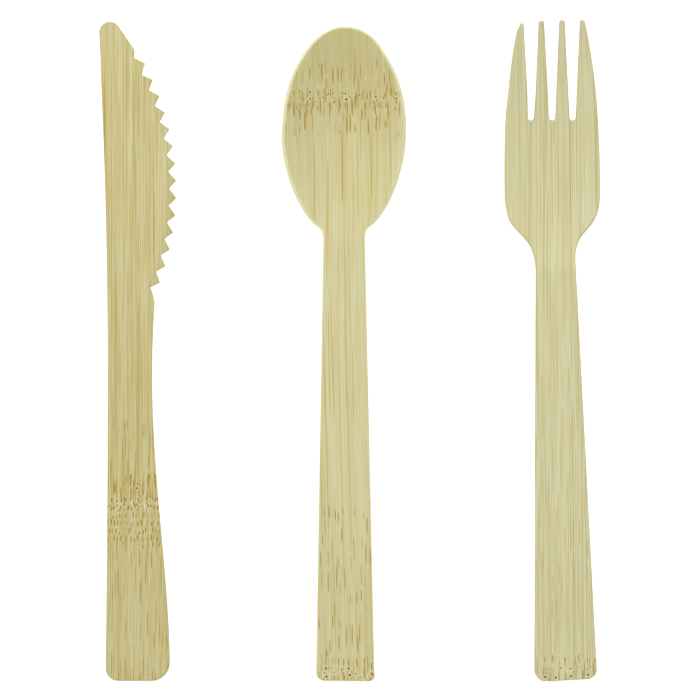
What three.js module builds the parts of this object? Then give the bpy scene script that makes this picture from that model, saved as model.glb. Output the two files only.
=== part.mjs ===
import * as THREE from 'three';

// A set of three pieces of flat bamboo cutlery, lying side by side as they come to rest on a table.
// Each piece is one blank, cut from bamboo sheet and pressed to shape in a heated mould.
// Lengths are in millimetres. Every piece is drawn along Y with its butt end at y = 0 and its head
// towards +Y, and the table is at z = 0. The finished set has its middle over the origin.

// The bamboo sheet
const sheetThickness = 2;

// The set: how far each piece's middle line lies from the middle of the set
const knifePlace = -56.8;
const spoonPlace = -1.55;
const forkPlace = 52.2;

// The knife
const knifeHandleLength = 101.5;
const knifeButtWidth = 16.4;
const knifeWaistWidth = 11.3;
const knifeWaistHeight = 80;
const knifeHeelWidth = 12;
const knifeHeelDrop = 4.5;
const knifeBackCorner = 3.2;
const knifeFrontCorner = 4.7;
const knifeButtFlare = 0.55;
const knifeTaperPower = 1.08;
const knifeHeelPower = 1.7;
const knifeHeelSwell = 1.8;
const knifeBackSweep = 2.45;
const bladeReach = 17.6;
const bellyRadius = 69;
const bellyHeight = 25;
const toothDepth = 2;
const toothPitch = 4.475;
const topToothPitch = 5.05;
const toothCount = 14;
const toothLean = 0.45;
const edgeThickness = 0.8;
const bevelMargin = 0.5;
const bevelFade = 2;
const noseLength = 9.3;
const noseRadius = 2.65;
const noseShoulder = 2.1;
const noseStep = 0.2;

// The spoon
const spoonButtWidth = 15;
const spoonNeckWidth = 10.56;
const spoonHandleLength = 114.2;
const spoonButtCorner = 2.1;
const spoonHandleSkew = 0.3;
const bowlWidth = 31.84;
const bowlWidestHeight = 28.3;
const bowlTipLength = 26.35;
const bowlTipRoundness = 1.93;
const bowlTipFlat = 3.8;
const bowlShoulderReach = 13.8;
const bowlNeckFlare = 1.2;
const bowlDepth = 5;
const bowlDeepestHeight = 24.5;
const bowlNeckReach = 2;
const bowlSpread = 0.62 * Math.PI;
const bowlRimShare = 1.2;
const spoonHandleArch = 0.8;

// The fork
const forkButtWidth = 16.1;
const forkNeckWidth = 10.1;
const forkHandleLength = 106;
const forkButtCorner = 2.6;
const forkHandleSkew = 3.4;
const forkLeanLength = 138;
const forkHeadWidth = 24.5;
const forkShoulderLength = 20;
const forkShoulderSwell = 12;
const forkTipSpan = 16.9;
const forkTipPower = 2.6;
const slotPitch = 5.3;
const slotMouthWidth = 3.9;
const slotRootWidth = 1.66;
const slotDepth = 25.8;
const webLength = 18.5;
const tineShortfalls = [0.8, 0.2, 0, 0];
const tineTipCorner = 0.4;
const firstTinePinch = 0.62;
const firstTinePinchLength = 2.6;
const tineRise = 5.5;
const neckRise = 4.4;
const forkHeadDish = 0.7;
const forkLowestHeight = 22;
const forkHandleArch = 0.8;

// How finely the grids are laid out
const handleRows = 12;
const cornerRows = 4;
const bowlRows = 12;
const pieceColumns = 12;

const mix = (from, to, share) => from + (to - from) * share;

const clamp = (value, low, high) => Math.min(Math.max(value, low), high);

function ease(from, to, value) {
  const share = clamp((value - from) / (to - from), 0, 1);
  return share * share * (3 - 2 * share);
}

// Evenly spaced values from one number to another, both included.
function steps(from, to, count) {
  return Array.from({ length: count + 1 }, (_, index) => mix(from, to, index / count));
}

// A closed sheet over a grid of plan points, with its underside at heightAt and its top one
// thickness further along the surface's normal. Cells that are not filled are left open.
function pressedSheet(grid, heightAt, thicknessAt, isFilled = () => true) {
  const probe = 0.05;
  const columns = grid[0].length;
  const positions = [];
  const faces = [];
  const numbers = new Map();

  const cornerNumber = (row, column) => {
    const key = row * columns + column;
    if (!numbers.has(key)) {
      numbers.set(key, positions.length / 3);
      const { x, y } = grid[row][column];
      const slopeX = (heightAt(x + probe, y) - heightAt(x - probe, y)) / (2 * probe);
      const slopeY = (heightAt(x, y + probe) - heightAt(x, y - probe)) / (2 * probe);
      const under = new THREE.Vector3(x, y, heightAt(x, y));
      const normal = new THREE.Vector3(-slopeX, -slopeY, 1).normalize();
      const over = under.clone().addScaledVector(normal, thicknessAt(x, y));
      positions.push(...under.toArray(), ...over.toArray());
    }
    return numbers.get(key);
  };

  const exists = (row, column) =>
    row >= 0 && column >= 0 && row < grid.length - 1 && column < columns - 1 && isFilled(row, column);

  const addWall = (from, to) => {
    faces.push(from, to, to + 1, from, to + 1, from + 1);
  };

  for (let row = 0; row < grid.length - 1; row += 1) {
    for (let column = 0; column < columns - 1; column += 1) {
      if (!exists(row, column)) continue;
      const nearLeft = cornerNumber(row, column);
      const nearRight = cornerNumber(row, column + 1);
      const farRight = cornerNumber(row + 1, column + 1);
      const farLeft = cornerNumber(row + 1, column);
      faces.push(nearLeft + 1, nearRight + 1, farRight + 1, nearLeft + 1, farRight + 1, farLeft + 1);
      faces.push(nearLeft, farRight, nearRight, nearLeft, farLeft, farRight);
      if (!exists(row - 1, column)) addWall(nearLeft, nearRight);
      if (!exists(row, column + 1)) addWall(nearRight, farRight);
      if (!exists(row + 1, column)) addWall(farRight, farLeft);
      if (!exists(row, column - 1)) addWall(farLeft, nearLeft);
    }
  }

  const geometry = new THREE.BufferGeometry();
  geometry.setAttribute('position', new THREE.Float32BufferAttribute(positions, 3));
  geometry.setIndex(faces);
  geometry.computeVertexNormals();
  return geometry;
}

// How far a round butt corner draws a side in, at a height above the butt.
function cornerInset(radius, y) {
  return y < radius ? radius - Math.sqrt(radius * radius - (radius - y) ** 2) : 0;
}

// Rows that follow a round butt corner: how far up each one lies, and its inset there.
function cornerProfile(radius) {
  return steps(0, Math.PI / 2, cornerRows).map((angle) => {
    const y = radius * (1 - Math.cos(angle));
    return { y, inset: cornerInset(radius, y) };
  });
}

// The height of a pressed handle's underside, from the table at its butt up to its neck.
function handleHeight(y, length, rise, arch) {
  const share = Math.max(y / length, 0);
  return rise * share + arch * Math.sin(Math.PI * Math.min(share, 1));
}

// The knife

const backX = -knifeWaistWidth / 2;
const bellyCentreX = backX + bladeReach - bellyRadius;
const bellyCentreY = knifeHandleLength + bellyHeight;
const rootRadius = bellyRadius - toothDepth;
const heelAngle = -Math.asin(bellyHeight / rootRadius);
const toothAngle = toothPitch / bellyRadius;
const noseRootAngle = heelAngle + ((toothCount - 1) * toothPitch + topToothPitch) / bellyRadius;
const noseRootY = bellyCentreY + rootRadius * Math.sin(noseRootAngle);
const knifeLength = noseRootY + noseLength;

function knifeBack(y) {
  if (y < knifeWaistHeight) return backX - knifeButtFlare * (1 - y / knifeWaistHeight) ** 2;
  const share = (y - knifeWaistHeight) / (knifeLength - knifeWaistHeight);
  return backX - knifeBackSweep * share * share;
}

function knifeHandleFront(y) {
  if (y < knifeWaistHeight) {
    const share = ease(0, 1, (1 - y / knifeWaistHeight) ** knifeTaperPower);
    return knifeBack(y) + mix(knifeWaistWidth, knifeButtWidth, share);
  }
  const heel = knifeHandleLength - knifeHeelDrop;
  const share = clamp((y - knifeWaistHeight) / (heel - knifeWaistHeight), 0, 1);
  return knifeBack(y) + mix(knifeWaistWidth, knifeHeelWidth, share ** knifeHeelPower);
}

const onBelly = (radius, angle) => ({
  y: bellyCentreY + radius * Math.sin(angle),
  front: bellyCentreX + radius * Math.cos(angle),
});

// The cutting edge, as points from the heel up to the last root below the nose.
function toothedEdge() {
  const points = [onBelly(rootRadius, heelAngle)];
  for (let tooth = 0; tooth < toothCount; tooth += 1) {
    const root = heelAngle + tooth * toothAngle;
    const next = tooth < toothCount - 1 ? root + toothAngle : noseRootAngle;
    points.push(onBelly(bellyRadius, mix(root, next, toothLean)));
    points.push(onBelly(rootRadius, next));
  }
  return points;
}

// The nose: a short shoulder, a straight slope and a round end that meets the back.
function noseEdge() {
  const root = onBelly(rootRadius, noseRootAngle);
  const shoulder = { y: root.y + noseShoulder, front: root.front + noseStep };
  const centreX = knifeBack(knifeLength - noseRadius) + noseRadius;
  const centreY = knifeLength - noseRadius;
  const reachX = shoulder.front - centreX;
  const reachY = shoulder.y - centreY;
  const tangent = Math.atan2(reachY, reachX) + Math.acos(noseRadius / Math.hypot(reachX, reachY));
  const meet = {
    y: centreY + noseRadius * Math.sin(tangent),
    front: centreX + noseRadius * Math.cos(tangent),
  };
  const slope = [0.35, 0.7].map((share) => ({
    y: mix(shoulder.y, meet.y, share),
    front: mix(shoulder.front, meet.front, share),
  }));
  const round = steps(tangent, Math.PI * 0.45, cornerRows).map((angle) => ({
    y: centreY + noseRadius * Math.sin(angle),
    front: centreX + noseRadius * Math.cos(angle),
    back: centreX - noseRadius * Math.cos(angle),
  }));
  return [shoulder, ...slope, ...round];
}

function knifeOutline() {
  const corner = cornerProfile(knifeFrontCorner).map(({ y, inset }) => ({
    y,
    back: knifeBack(y) + cornerInset(knifeBackCorner, y),
    front: knifeHandleFront(y) - inset,
  }));
  const heel = knifeHandleLength - knifeHeelDrop;
  const handle = steps(knifeFrontCorner, heel, handleRows).slice(1).map((y) => ({
    y,
    front: knifeHandleFront(y),
  }));
  const teeth = toothedEdge();
  const bump = [0.3, 0.65].map((share) => ({
    y: mix(heel, knifeHandleLength, share),
    front: mix(knifeHandleFront(heel), teeth[0].front, share ** knifeHeelSwell),
  }));
  return [...corner, ...handle, ...bump, ...teeth, ...noseEdge()];
}

// The inner line of the bevel on the cutting edge, kept inside the outline away from the teeth.
function bevelLine(y, back, front) {
  const radius = rootRadius - bevelMargin;
  const rise = y - bellyCentreY;
  const line = bellyCentreX + Math.sqrt(Math.max(radius * radius - rise * rise, 0));
  return clamp(line, mix(back, front, 0.55), mix(back, front, 0.92));
}

// The blank is full thickness, apart from the teeth, which are ground down towards their tips.
function knifeThickness(x, y) {
  const radius = Math.hypot(x - bellyCentreX, y - bellyCentreY);
  const inner = rootRadius - bevelMargin;
  const across = clamp((radius - inner) / (bellyRadius - inner), 0, 1);
  const above = ease(knifeHandleLength - bevelFade, knifeHandleLength, y);
  const below = 1 - ease(noseRootY, noseRootY + bevelFade, y);
  return mix(sheetThickness, edgeThickness, across * above * below);
}

function makeKnife() {
  const grid = knifeOutline().map(({ y, front, back = knifeBack(y) }) => {
    const inner = bevelLine(y, back, front);
    const body = steps(back, inner, 5);
    const bevel = steps(inner, front, 2).slice(1);
    return [...body, ...bevel].map((x) => new THREE.Vector2(x, y));
  });
  return pressedSheet(grid, () => 0, knifeThickness);
}

// The spoon

const bowlWidestY = spoonHandleLength + bowlWidestHeight;
const bowlDeepestY = spoonHandleLength + bowlDeepestHeight;
const bowlTipY = bowlWidestY + bowlTipLength;

function spoonMiddle(y) {
  return spoonHandleSkew * (1 - clamp(y / spoonHandleLength, 0, 1));
}

const spoonHandleHalf = (y) => mix(spoonButtWidth, spoonNeckWidth, y / spoonHandleLength) / 2;

// Half widths of the bowl from the neck, round its shoulders and widest place, to the tip.
function bowlOutline() {
  const neckHalf = spoonNeckWidth / 2;
  const wideHalf = bowlWidth / 2;
  const join = new THREE.Vector2(neckHalf + bowlNeckFlare, spoonHandleLength + 2.9);
  const fillet = new THREE.QuadraticBezierCurve(
    new THREE.Vector2(neckHalf, spoonHandleLength),
    new THREE.Vector2(neckHalf, spoonHandleLength + 2.2),
    join,
  );
  const shoulder = new THREE.CubicBezierCurve(
    join,
    new THREE.Vector2(join.x + 3, join.y + 1.5),
    new THREE.Vector2(wideHalf, bowlWidestY - bowlShoulderReach),
    new THREE.Vector2(wideHalf, bowlWidestY),
  );
  const power = 2 / bowlTipRoundness;
  const lastAngle = Math.acos((bowlTipFlat / bowlWidth) ** (1 / power));
  const tip = steps(0, lastAngle, bowlRows).map((angle) => new THREE.Vector2(
    wideHalf * Math.cos(angle) ** power,
    bowlWidestY + bowlTipLength * Math.sin(angle) ** power,
  ));
  return [
    ...fillet.getPoints(3).slice(0, -1),
    ...shoulder.getPoints(bowlRows).slice(0, -1),
    ...tip,
  ].map(({ x, y }) => ({ y, half: x }));
}

function spoonOutline() {
  const corner = cornerProfile(spoonButtCorner).map(({ y, inset }) => ({
    y,
    half: spoonHandleHalf(y) - inset,
  }));
  const handle = steps(spoonButtCorner, spoonHandleLength, handleRows).slice(1, -1).map((y) => ({
    y,
    half: spoonHandleHalf(y),
  }));
  return [...corner, ...handle, ...bowlOutline()];
}

// The bowl is a dish that steepens towards its rim, and the handle rises to meet the rim's height.
function spoonHeight(x, y) {
  const reach = y > bowlDeepestY ? bowlTipY - bowlDeepestY : bowlDeepestHeight + bowlNeckReach;
  const radius = Math.hypot(x / (bowlWidth / 2), (y - bowlDeepestY) / reach);
  const angle = bowlSpread * Math.min(radius, bowlRimShare);
  const bowl = bowlDepth * (1 - Math.cos(angle)) / (1 - Math.cos(bowlSpread));
  const handle = handleHeight(y, spoonHandleLength, bowlDepth, spoonHandleArch);
  return mix(handle, bowl, ease(spoonHandleLength - 4, spoonHandleLength + 6, y));
}

function makeSpoon() {
  const outline = spoonOutline();
  const heights = outline.map(({ y }) => y);
  const after = heights.findIndex((y) => y > bowlDeepestY);
  const share = (bowlDeepestY - heights[after - 1]) / (heights[after] - heights[after - 1]);
  const deepest = { y: bowlDeepestY, half: mix(outline[after - 1].half, outline[after].half, share) };
  outline.splice(after, 0, deepest);
  const grid = outline.map(({ y, half }) => steps(-half, half, pieceColumns)
    .map((x) => new THREE.Vector2(spoonMiddle(y) + x, y)));
  return pressedSheet(grid, spoonHeight, () => sheetThickness);
}

// The fork

const forkShoulderY = forkHandleLength + forkShoulderLength;
const slotBottomY = forkShoulderY + webLength;
const slotRootY = slotBottomY + slotRootWidth / 2;
const forkLength = slotBottomY + slotDepth;

const forkLean = forkHandleSkew / forkLeanLength;

// The handle leans to one side of the head, and straightens where the neck meets the shoulders.
function forkMiddle(y) {
  const lean = forkHandleSkew - forkLean * y;
  return lean * (1 - ease(forkHandleLength - 1, forkHandleLength + 11, y));
}

const forkHandleHalf = (y) => mix(forkButtWidth, forkNeckWidth, y / forkHandleLength) / 2;

// Half width of the head above its shoulders, where it narrows slowly towards the tips.
function forkHeadHalf(y) {
  const share = Math.max(y - forkShoulderY, 0) / (forkLength - forkShoulderY);
  return mix(forkHeadWidth, forkTipSpan, share ** forkTipPower) / 2;
}

function slotHalf(y) {
  if (y < slotRootY) {
    const drop = clamp((slotRootY - y) / (slotRootWidth / 2), 0, 0.9);
    return (slotRootWidth / 2) * Math.sqrt(1 - drop * drop);
  }
  return mix(slotRootWidth, slotMouthWidth, (y - slotRootY) / (forkLength - slotRootY)) / 2;
}

// Plan lines from the left edge to the right edge: the two sides of each slot lie between them.
function headLines(y, half, opening) {
  const sides = [-1, 0, 1].flatMap((slot) => [slot * slotPitch - opening, slot * slotPitch + opening]);
  return [-half, ...sides, half];
}

// Each tine is four lines wide, and each slot is the one cell between two tines. The rows at the
// butt are square to the leaning handle, and those of the head are square to the head.
function tineColumns(lines, heights) {
  const row = [];
  for (let tine = 0; tine < 4; tine += 1) {
    const y = heights[tine];
    const tilt = forkLean * Math.max(1 - y / forkHandleLength, 0);
    const xs = steps(lines[2 * tine], lines[2 * tine + 1], 3);
    row.push(...xs.map((x) => new THREE.Vector2(x + forkMiddle(y), y + x * tilt)));
  }
  return row;
}

function forkGrid() {
  const handleLines = steps(-1, 1, 7);
  const webLines = headLines(slotBottomY, forkHeadHalf(slotBottomY), slotHalf(slotBottomY));
  const solidRow = (y, half) => {
    const share = ease(forkHandleLength, slotBottomY, y);
    const lines = webLines.map((x, index) => half
      * mix(handleLines[index], x / webLines[webLines.length - 1], share));
    return tineColumns(lines, [y, y, y, y]);
  };
  const shoulder = new THREE.CubicBezierCurve(
    new THREE.Vector2(forkNeckWidth / 2, forkHandleLength),
    new THREE.Vector2(forkNeckWidth / 2, forkHandleLength + forkShoulderSwell),
    new THREE.Vector2(forkHeadWidth / 2, forkShoulderY - forkShoulderSwell),
    new THREE.Vector2(forkHeadWidth / 2, forkShoulderY),
  );
  const rows = [
    ...cornerProfile(forkButtCorner).map(({ y, inset }) => solidRow(y, forkHandleHalf(y) - inset)),
    ...steps(forkButtCorner, forkHandleLength, handleRows).slice(1, -1)
      .map((y) => solidRow(y, forkHandleHalf(y))),
    ...shoulder.getPoints(14).slice(0, -1).map(({ x, y }) => solidRow(y, x)),
    ...steps(forkShoulderY, slotBottomY, 6).map((y) => solidRow(y, forkHeadHalf(y))),
  ];
  const solidRows = rows.length - 1;
  for (const share of [0.45, 0.9]) {
    const y = mix(slotBottomY, slotRootY, share);
    rows.push(tineColumns(headLines(y, forkHeadHalf(y), slotHalf(y)), [y, y, y, y]));
  }
  const tips = tineShortfalls.map((shortfall) => forkLength - shortfall);
  for (const share of steps(0, 1, 8)) {
    rows.push(tineRow(tips.map((tip) => mix(slotRootY, tip - firstTinePinchLength, share)), 0));
  }
  for (const share of [0.35, 0.7]) {
    rows.push(tineRow(tips.map((tip) => mix(tip - firstTinePinchLength, tip, share)), 0));
  }
  for (const share of [1, 0.3]) {
    rows.push(tineRow(tips.map((tip) => tip - tineTipCorner * share), tineTipCorner * (1 - share) / 2));
  }
  rows.push(tineRow(tips, tineTipCorner));
  return { rows, solidRows };
}

// How far the first tine's outer side is drawn in near its tip, at a height up the fork.
function firstTineInset(y) {
  const below = forkLength - tineShortfalls[0] - y;
  return firstTinePinch * Math.max(1 - below / firstTinePinchLength, 0) ** 1.5;
}

// One row across the four tines, each at its own height and drawn in by an inset on both sides.
// The first tine is drawn in further on its outer side, and half as far on its inner side.
function tineRow(heights, inset) {
  const lines = heights.flatMap((y, tine) => {
    const edges = headLines(y, forkHeadHalf(y), slotHalf(y));
    const outer = tine === 0 ? firstTineInset(y) : inset;
    const inner = tine === 0 ? inset / 2 : inset;
    return [edges[2 * tine] + outer, edges[2 * tine + 1] - inner];
  });
  return tineColumns(lines, heights);
}

// The head rests on its belly, the tines and the neck rise from there, and its sides turn up a little.
function forkHeight(x, y) {
  const lowest = forkHandleLength + forkLowestHeight;
  const isTines = y > lowest;
  const away = isTines ? (y - lowest) / (forkLength - lowest) : (lowest - y) / forkLowestHeight;
  const rise = (isTines ? tineRise : neckRise) * away * away;
  const dish = forkHeadDish * (2 * x / forkHeadWidth) ** 2 * Math.max(1 - away, 0);
  const handle = handleHeight(y, forkHandleLength, neckRise, forkHandleArch);
  return mix(handle, rise + dish, ease(forkHandleLength - 4, forkHandleLength + 6, y));
}

function makeFork() {
  const { rows, solidRows } = forkGrid();
  const isFilled = (row, column) => row < solidRows || column % 4 !== 3;
  return pressedSheet(rows, forkHeight, () => sheetThickness, isFilled);
}

// The set

function bamboo(colour) {
  return new THREE.MeshStandardMaterial({ color: colour, roughness: 0.7, metalness: 0 });
}

function addPiece(set, name, geometry, colour, place) {
  const piece = new THREE.Mesh(geometry, bamboo(colour));
  piece.name = name;
  piece.position.set(place, 0, 0);
  set.add(piece);
}

const cutlerySet = new THREE.Group();
addPiece(cutlerySet, 'knife', makeKnife(), 0xc8bf8d, knifePlace);
addPiece(cutlerySet, 'spoon', makeSpoon(), 0xcdc696, spoonPlace);
addPiece(cutlerySet, 'fork', makeFork(), 0xcec99e, forkPlace);

const middle = new THREE.Box3().setFromObject(cutlerySet).getCenter(new THREE.Vector3());
cutlerySet.position.set(-middle.x, -middle.y, 0);

export default cutlerySet;
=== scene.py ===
"""Dresses a set of pressed bamboo cutlery, a knife, a spoon and a fork, lying on a pale table."""

import logging
import math
from dataclasses import dataclass
from enum import Enum

import bpy
import numpy as np
from mathutils import Matrix, Vector


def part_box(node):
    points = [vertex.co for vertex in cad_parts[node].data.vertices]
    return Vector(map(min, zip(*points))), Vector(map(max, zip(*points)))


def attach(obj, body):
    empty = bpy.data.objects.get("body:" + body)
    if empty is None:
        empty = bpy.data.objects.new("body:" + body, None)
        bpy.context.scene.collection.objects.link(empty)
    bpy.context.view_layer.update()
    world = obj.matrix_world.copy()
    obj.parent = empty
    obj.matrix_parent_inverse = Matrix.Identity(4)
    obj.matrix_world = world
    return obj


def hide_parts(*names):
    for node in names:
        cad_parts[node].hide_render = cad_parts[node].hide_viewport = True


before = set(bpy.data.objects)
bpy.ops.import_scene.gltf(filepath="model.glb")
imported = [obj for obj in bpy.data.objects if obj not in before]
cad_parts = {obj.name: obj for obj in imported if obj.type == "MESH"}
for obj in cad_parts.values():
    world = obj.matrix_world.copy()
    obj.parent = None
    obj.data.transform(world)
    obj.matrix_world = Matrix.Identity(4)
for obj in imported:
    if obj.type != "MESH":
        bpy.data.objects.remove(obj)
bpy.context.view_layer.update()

LOG = logging.getLogger("cutlery")
MM = 0.001

Point = tuple[float, float]
Colour = tuple[float, float, float]
Screen = tuple[int, int, int]

# How far in from an outline, in millimetres, a small unevenness of the cut pulls the points along
PULL = 4.0

# The distance, in radii, that stands for no pit near
NO_PIT = 100.0

# Where the close grid lines lie that round an edge off: as shares of the rounding, in millimetres up
# from the butt, and in millimetres down from the other end
EDGE_SHARES = (0.0, 0.14, 0.42, 1.0)
BUTT_STEPS = (0.0, 0.06, 0.18, 0.34)
END_STEPS = (0.3, 0.15, 0.05)

# How far below and above the neck a handle goes over into its head, in millimetres
NECK_BLEND = (4.0, 6.0)

# How far up a handle the slant of its butt end reaches, in millimetres
SLANT_REACH = 8.0


class Field(Enum):
    """The names under which a pressed blank keeps what its finish needs to know."""

    EDGE = "edge"
    BEVEL = "bevel"


def linear(red: int, green: int, blue: int) -> Colour:
    """Turns a colour given as 0 to 255 screen values into linear light."""
    shares = (value / 255 for value in (red, green, blue))
    return tuple(share / 12.92 if share <= 0.04045 else ((share + 0.055) / 1.055) ** 2.4 for share in shares)


def ease(low: float, high: float, value: float) -> float:
    """Rises smoothly from 0 at low to 1 at high."""
    share = min(max((value - low) / (high - low), 0.0), 1.0)
    return share * share * (3 - 2 * share)


def mix(start: float, end: float, share: float) -> float:
    """Goes from start to end by a share."""
    return start + (end - start) * share


# Arithmetic in node trees


class Wire:
    """A value in a node tree. Arithmetic on it adds the nodes that work it out."""

    def __init__(self, tree: bpy.types.NodeTree, socket: bpy.types.NodeSocket) -> None:
        """Keeps the tree and the socket that the value comes from."""
        self.tree = tree
        self.socket = socket

    def math(self, operation: str, *others: "Wire | float") -> "Wire":
        """Adds a Math node.

        Args:
            operation: Blender's name of the operation.
            others: The further operands.

        Returns:
            The node's result.
        """
        node = self.tree.nodes.new("ShaderNodeMath")
        node.operation = operation
        for slot, value in zip(node.inputs, (self, *others)):
            plug(self.tree, slot, value)
        return Wire(self.tree, node.outputs[0])

    def __add__(self, other: "Wire | float") -> "Wire":
        """Adds."""
        return self.math("ADD", other)

    def __sub__(self, other: "Wire | float") -> "Wire":
        """Subtracts."""
        return self.math("SUBTRACT", other)

    def __mul__(self, other: "Wire | float") -> "Wire":
        """Multiplies."""
        return self.math("MULTIPLY", other)

    def __truediv__(self, other: "Wire | float") -> "Wire":
        """Divides."""
        return self.math("DIVIDE", other)

    def flip(self) -> "Wire":
        """One minus the value."""
        return (self * -1.0) + 1.0

    def square(self) -> "Wire":
        """The value times itself."""
        return self * self

    def at_least(self, low: "Wire | float") -> "Wire":
        """The larger of the value and a lower limit."""
        return self.math("MAXIMUM", low)

    def at_most(self, high: "Wire | float") -> "Wire":
        """The smaller of the value and an upper limit."""
        return self.math("MINIMUM", high)

    def above(self, limit: "Wire | float") -> "Wire":
        """One where the value is above a limit, and otherwise nought."""
        return self.math("GREATER_THAN", limit)

    def ease(self, low: "Wire | float", high: "Wire | float") -> "Wire":
        """Rises smoothly from 0 at low to 1 at high.

        Args:
            low: Where the rise begins.
            high: Where it ends.

        Returns:
            The share of the rise that the value has reached.
        """
        node = self.tree.nodes.new("ShaderNodeMapRange")
        node.interpolation_type = "SMOOTHSTEP"
        for slot, value in zip(node.inputs, (self, low, high)):
            plug(self.tree, slot, value)
        return Wire(self.tree, node.outputs[0])

    def blend(self, start: "Wire | float", end: "Wire | float") -> "Wire":
        """Goes from one value to another as this one goes from 0 to 1.

        Args:
            start: The value at 0.
            end: The value at 1.

        Returns:
            The value between them.
        """
        node = self.tree.nodes.new("ShaderNodeMix")
        for slot, value in ((0, self), (2, start), (3, end)):
            plug(self.tree, node.inputs[slot], value)
        return Wire(self.tree, node.outputs[0])


def plug(tree: bpy.types.NodeTree, slot: bpy.types.NodeSocket, value: object) -> None:
    """Feeds a node's slot.

    Args:
        tree: The tree that the node is in.
        slot: The slot.
        value: A wire or a socket to link to it, or a plain value to set it to.
    """
    source = value.socket if isinstance(value, Wire) else value
    if isinstance(source, bpy.types.NodeSocket):
        tree.links.new(source, slot)
    else:
        slot.default_value = source


def add_node(
    tree: bpy.types.NodeTree, kind: str, inputs: dict | None = None, **settings: object
) -> bpy.types.Node:
    """Adds a node to a tree.

    Args:
        tree: The tree.
        kind: Blender's name of the node.
        inputs: What goes into its slots, by name or number.
        settings: Its other settings.

    Returns:
        The node.
    """
    node = tree.nodes.new(kind)
    for name, value in settings.items():
        setattr(node, name, value)
    for name, value in (inputs or {}).items():
        plug(tree, node.inputs[name], value)
    return node


def join_xyz(tree: bpy.types.NodeTree, x: object, y: object, z: object) -> bpy.types.NodeSocket:
    """Makes a vector of three values."""
    return add_node(tree, "ShaderNodeCombineXYZ", {0: x, 1: y, 2: z}).outputs[0]


def split_xyz(tree: bpy.types.NodeTree, vector: object) -> tuple[Wire, Wire, Wire]:
    """Gives the three values of a vector."""
    node = add_node(tree, "ShaderNodeSeparateXYZ", {0: vector})
    return tuple(Wire(tree, socket) for socket in node.outputs)


def split_colour(tree: bpy.types.NodeTree, colour: object) -> tuple[Wire, Wire, Wire]:
    """Gives the three values of a colour."""
    node = add_node(tree, "ShaderNodeSeparateColor", {0: colour})
    return tuple(Wire(tree, socket) for socket in node.outputs)


def noise(tree: bpy.types.NodeTree, vector: object, detail: float, roughness: float = 0.5) -> Wire:
    """Adds a noise texture around one half, read at a vector, with some finer layers of a given strength."""
    inputs = {"Vector": vector, "Scale": 1.0, "Detail": detail, "Roughness": roughness}
    return Wire(tree, add_node(tree, "ShaderNodeTexNoise", inputs).outputs[0])


# The press: geometry nodes that turn a flat blank into a formed piece


class Press:
    """The tree that forms one flat blank, with its sizes as named inputs, all in millimetres."""

    def __init__(self, name: str) -> None:
        """Makes the tree, with nothing between its entry and its exit.

        Args:
            name: The tree's name.
        """
        self.tree = bpy.data.node_groups.new(name, "GeometryNodeTree")
        self.tree.interface.new_socket("Blank", in_out="INPUT", socket_type="NodeSocketGeometry")
        self.tree.interface.new_socket("Piece", in_out="OUTPUT", socket_type="NodeSocketGeometry")
        self.entry = self.tree.nodes.new("NodeGroupInput")
        self.exit = self.tree.nodes.new("NodeGroupOutput")
        self.sizes: dict[str, float] = {}

    def size(self, name: str, value: float) -> Wire:
        """Adds a named size to the tree's inputs, unless it is there already.

        Args:
            name: The size's name.
            value: Its value.

        Returns:
            The size, as a wire.
        """
        if name not in self.sizes:
            socket = self.tree.interface.new_socket(name, in_out="INPUT", socket_type="NodeSocketFloat")
            socket.default_value = value
            self.sizes[name] = value
        return Wire(self.tree, self.entry.outputs[name])

    def node(self, kind: str, inputs: dict | None = None, **settings: object) -> bpy.types.Node:
        """Adds a node to the press."""
        return add_node(self.tree, kind, inputs, **settings)

    def distance(self, target: object, element: str) -> Wire:
        """Gives the distance from each point to the nearest element of a geometry."""
        node = self.node("GeometryNodeProximity", {0: target}, target_element=element)
        return Wire(self.tree, node.outputs[1])

    def keep(self, geometry: object, kept: list[tuple[str, object]]) -> list[bpy.types.NodeSocket]:
        """Captures values on the points of a geometry.

        Args:
            geometry: The geometry.
            kept: Pairs of a kind, FLOAT or VECTOR, and the value to keep.

        Returns:
            The geometry with the captured values after it.
        """
        node = self.tree.nodes.new("GeometryNodeCaptureAttribute")
        for number, (kind, _) in enumerate(kept):
            node.capture_items.new(kind, f"kept {number}")
        plug(self.tree, node.inputs[0], geometry)
        for number, (_, value) in enumerate(kept):
            plug(self.tree, node.inputs[number + 1], value)
        return [node.outputs[number] for number in range(len(kept) + 1)]

    def move(self, geometry: object, offset: object, selection: object = True) -> bpy.types.NodeSocket:
        """Moves the points of a geometry by an offset."""
        inputs = {"Geometry": geometry, "Offset": offset, "Selection": selection}
        return self.node("GeometryNodeSetPosition", inputs).outputs[0]

    def along(self, direction: object, amount: object) -> bpy.types.NodeSocket:
        """Scales a direction by an amount."""
        return self.node("ShaderNodeVectorMath", {0: direction, 3: amount}, operation="SCALE").outputs[0]

    def store(self, geometry: object, name: Field, value: object) -> bpy.types.NodeSocket:
        """Stores a value on the points under the name that the finish reads.

        Args:
            geometry: The geometry.
            name: The name.
            value: The value.

        Returns:
            The geometry with the value on its points.
        """
        inputs = {"Geometry": geometry, "Name": name.value, "Value": value}
        node = self.node("GeometryNodeStoreNamedAttribute", inputs, data_type="FLOAT", domain="POINT")
        return node.outputs[0]


# The growth rings, where the cane had its joints


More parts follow.
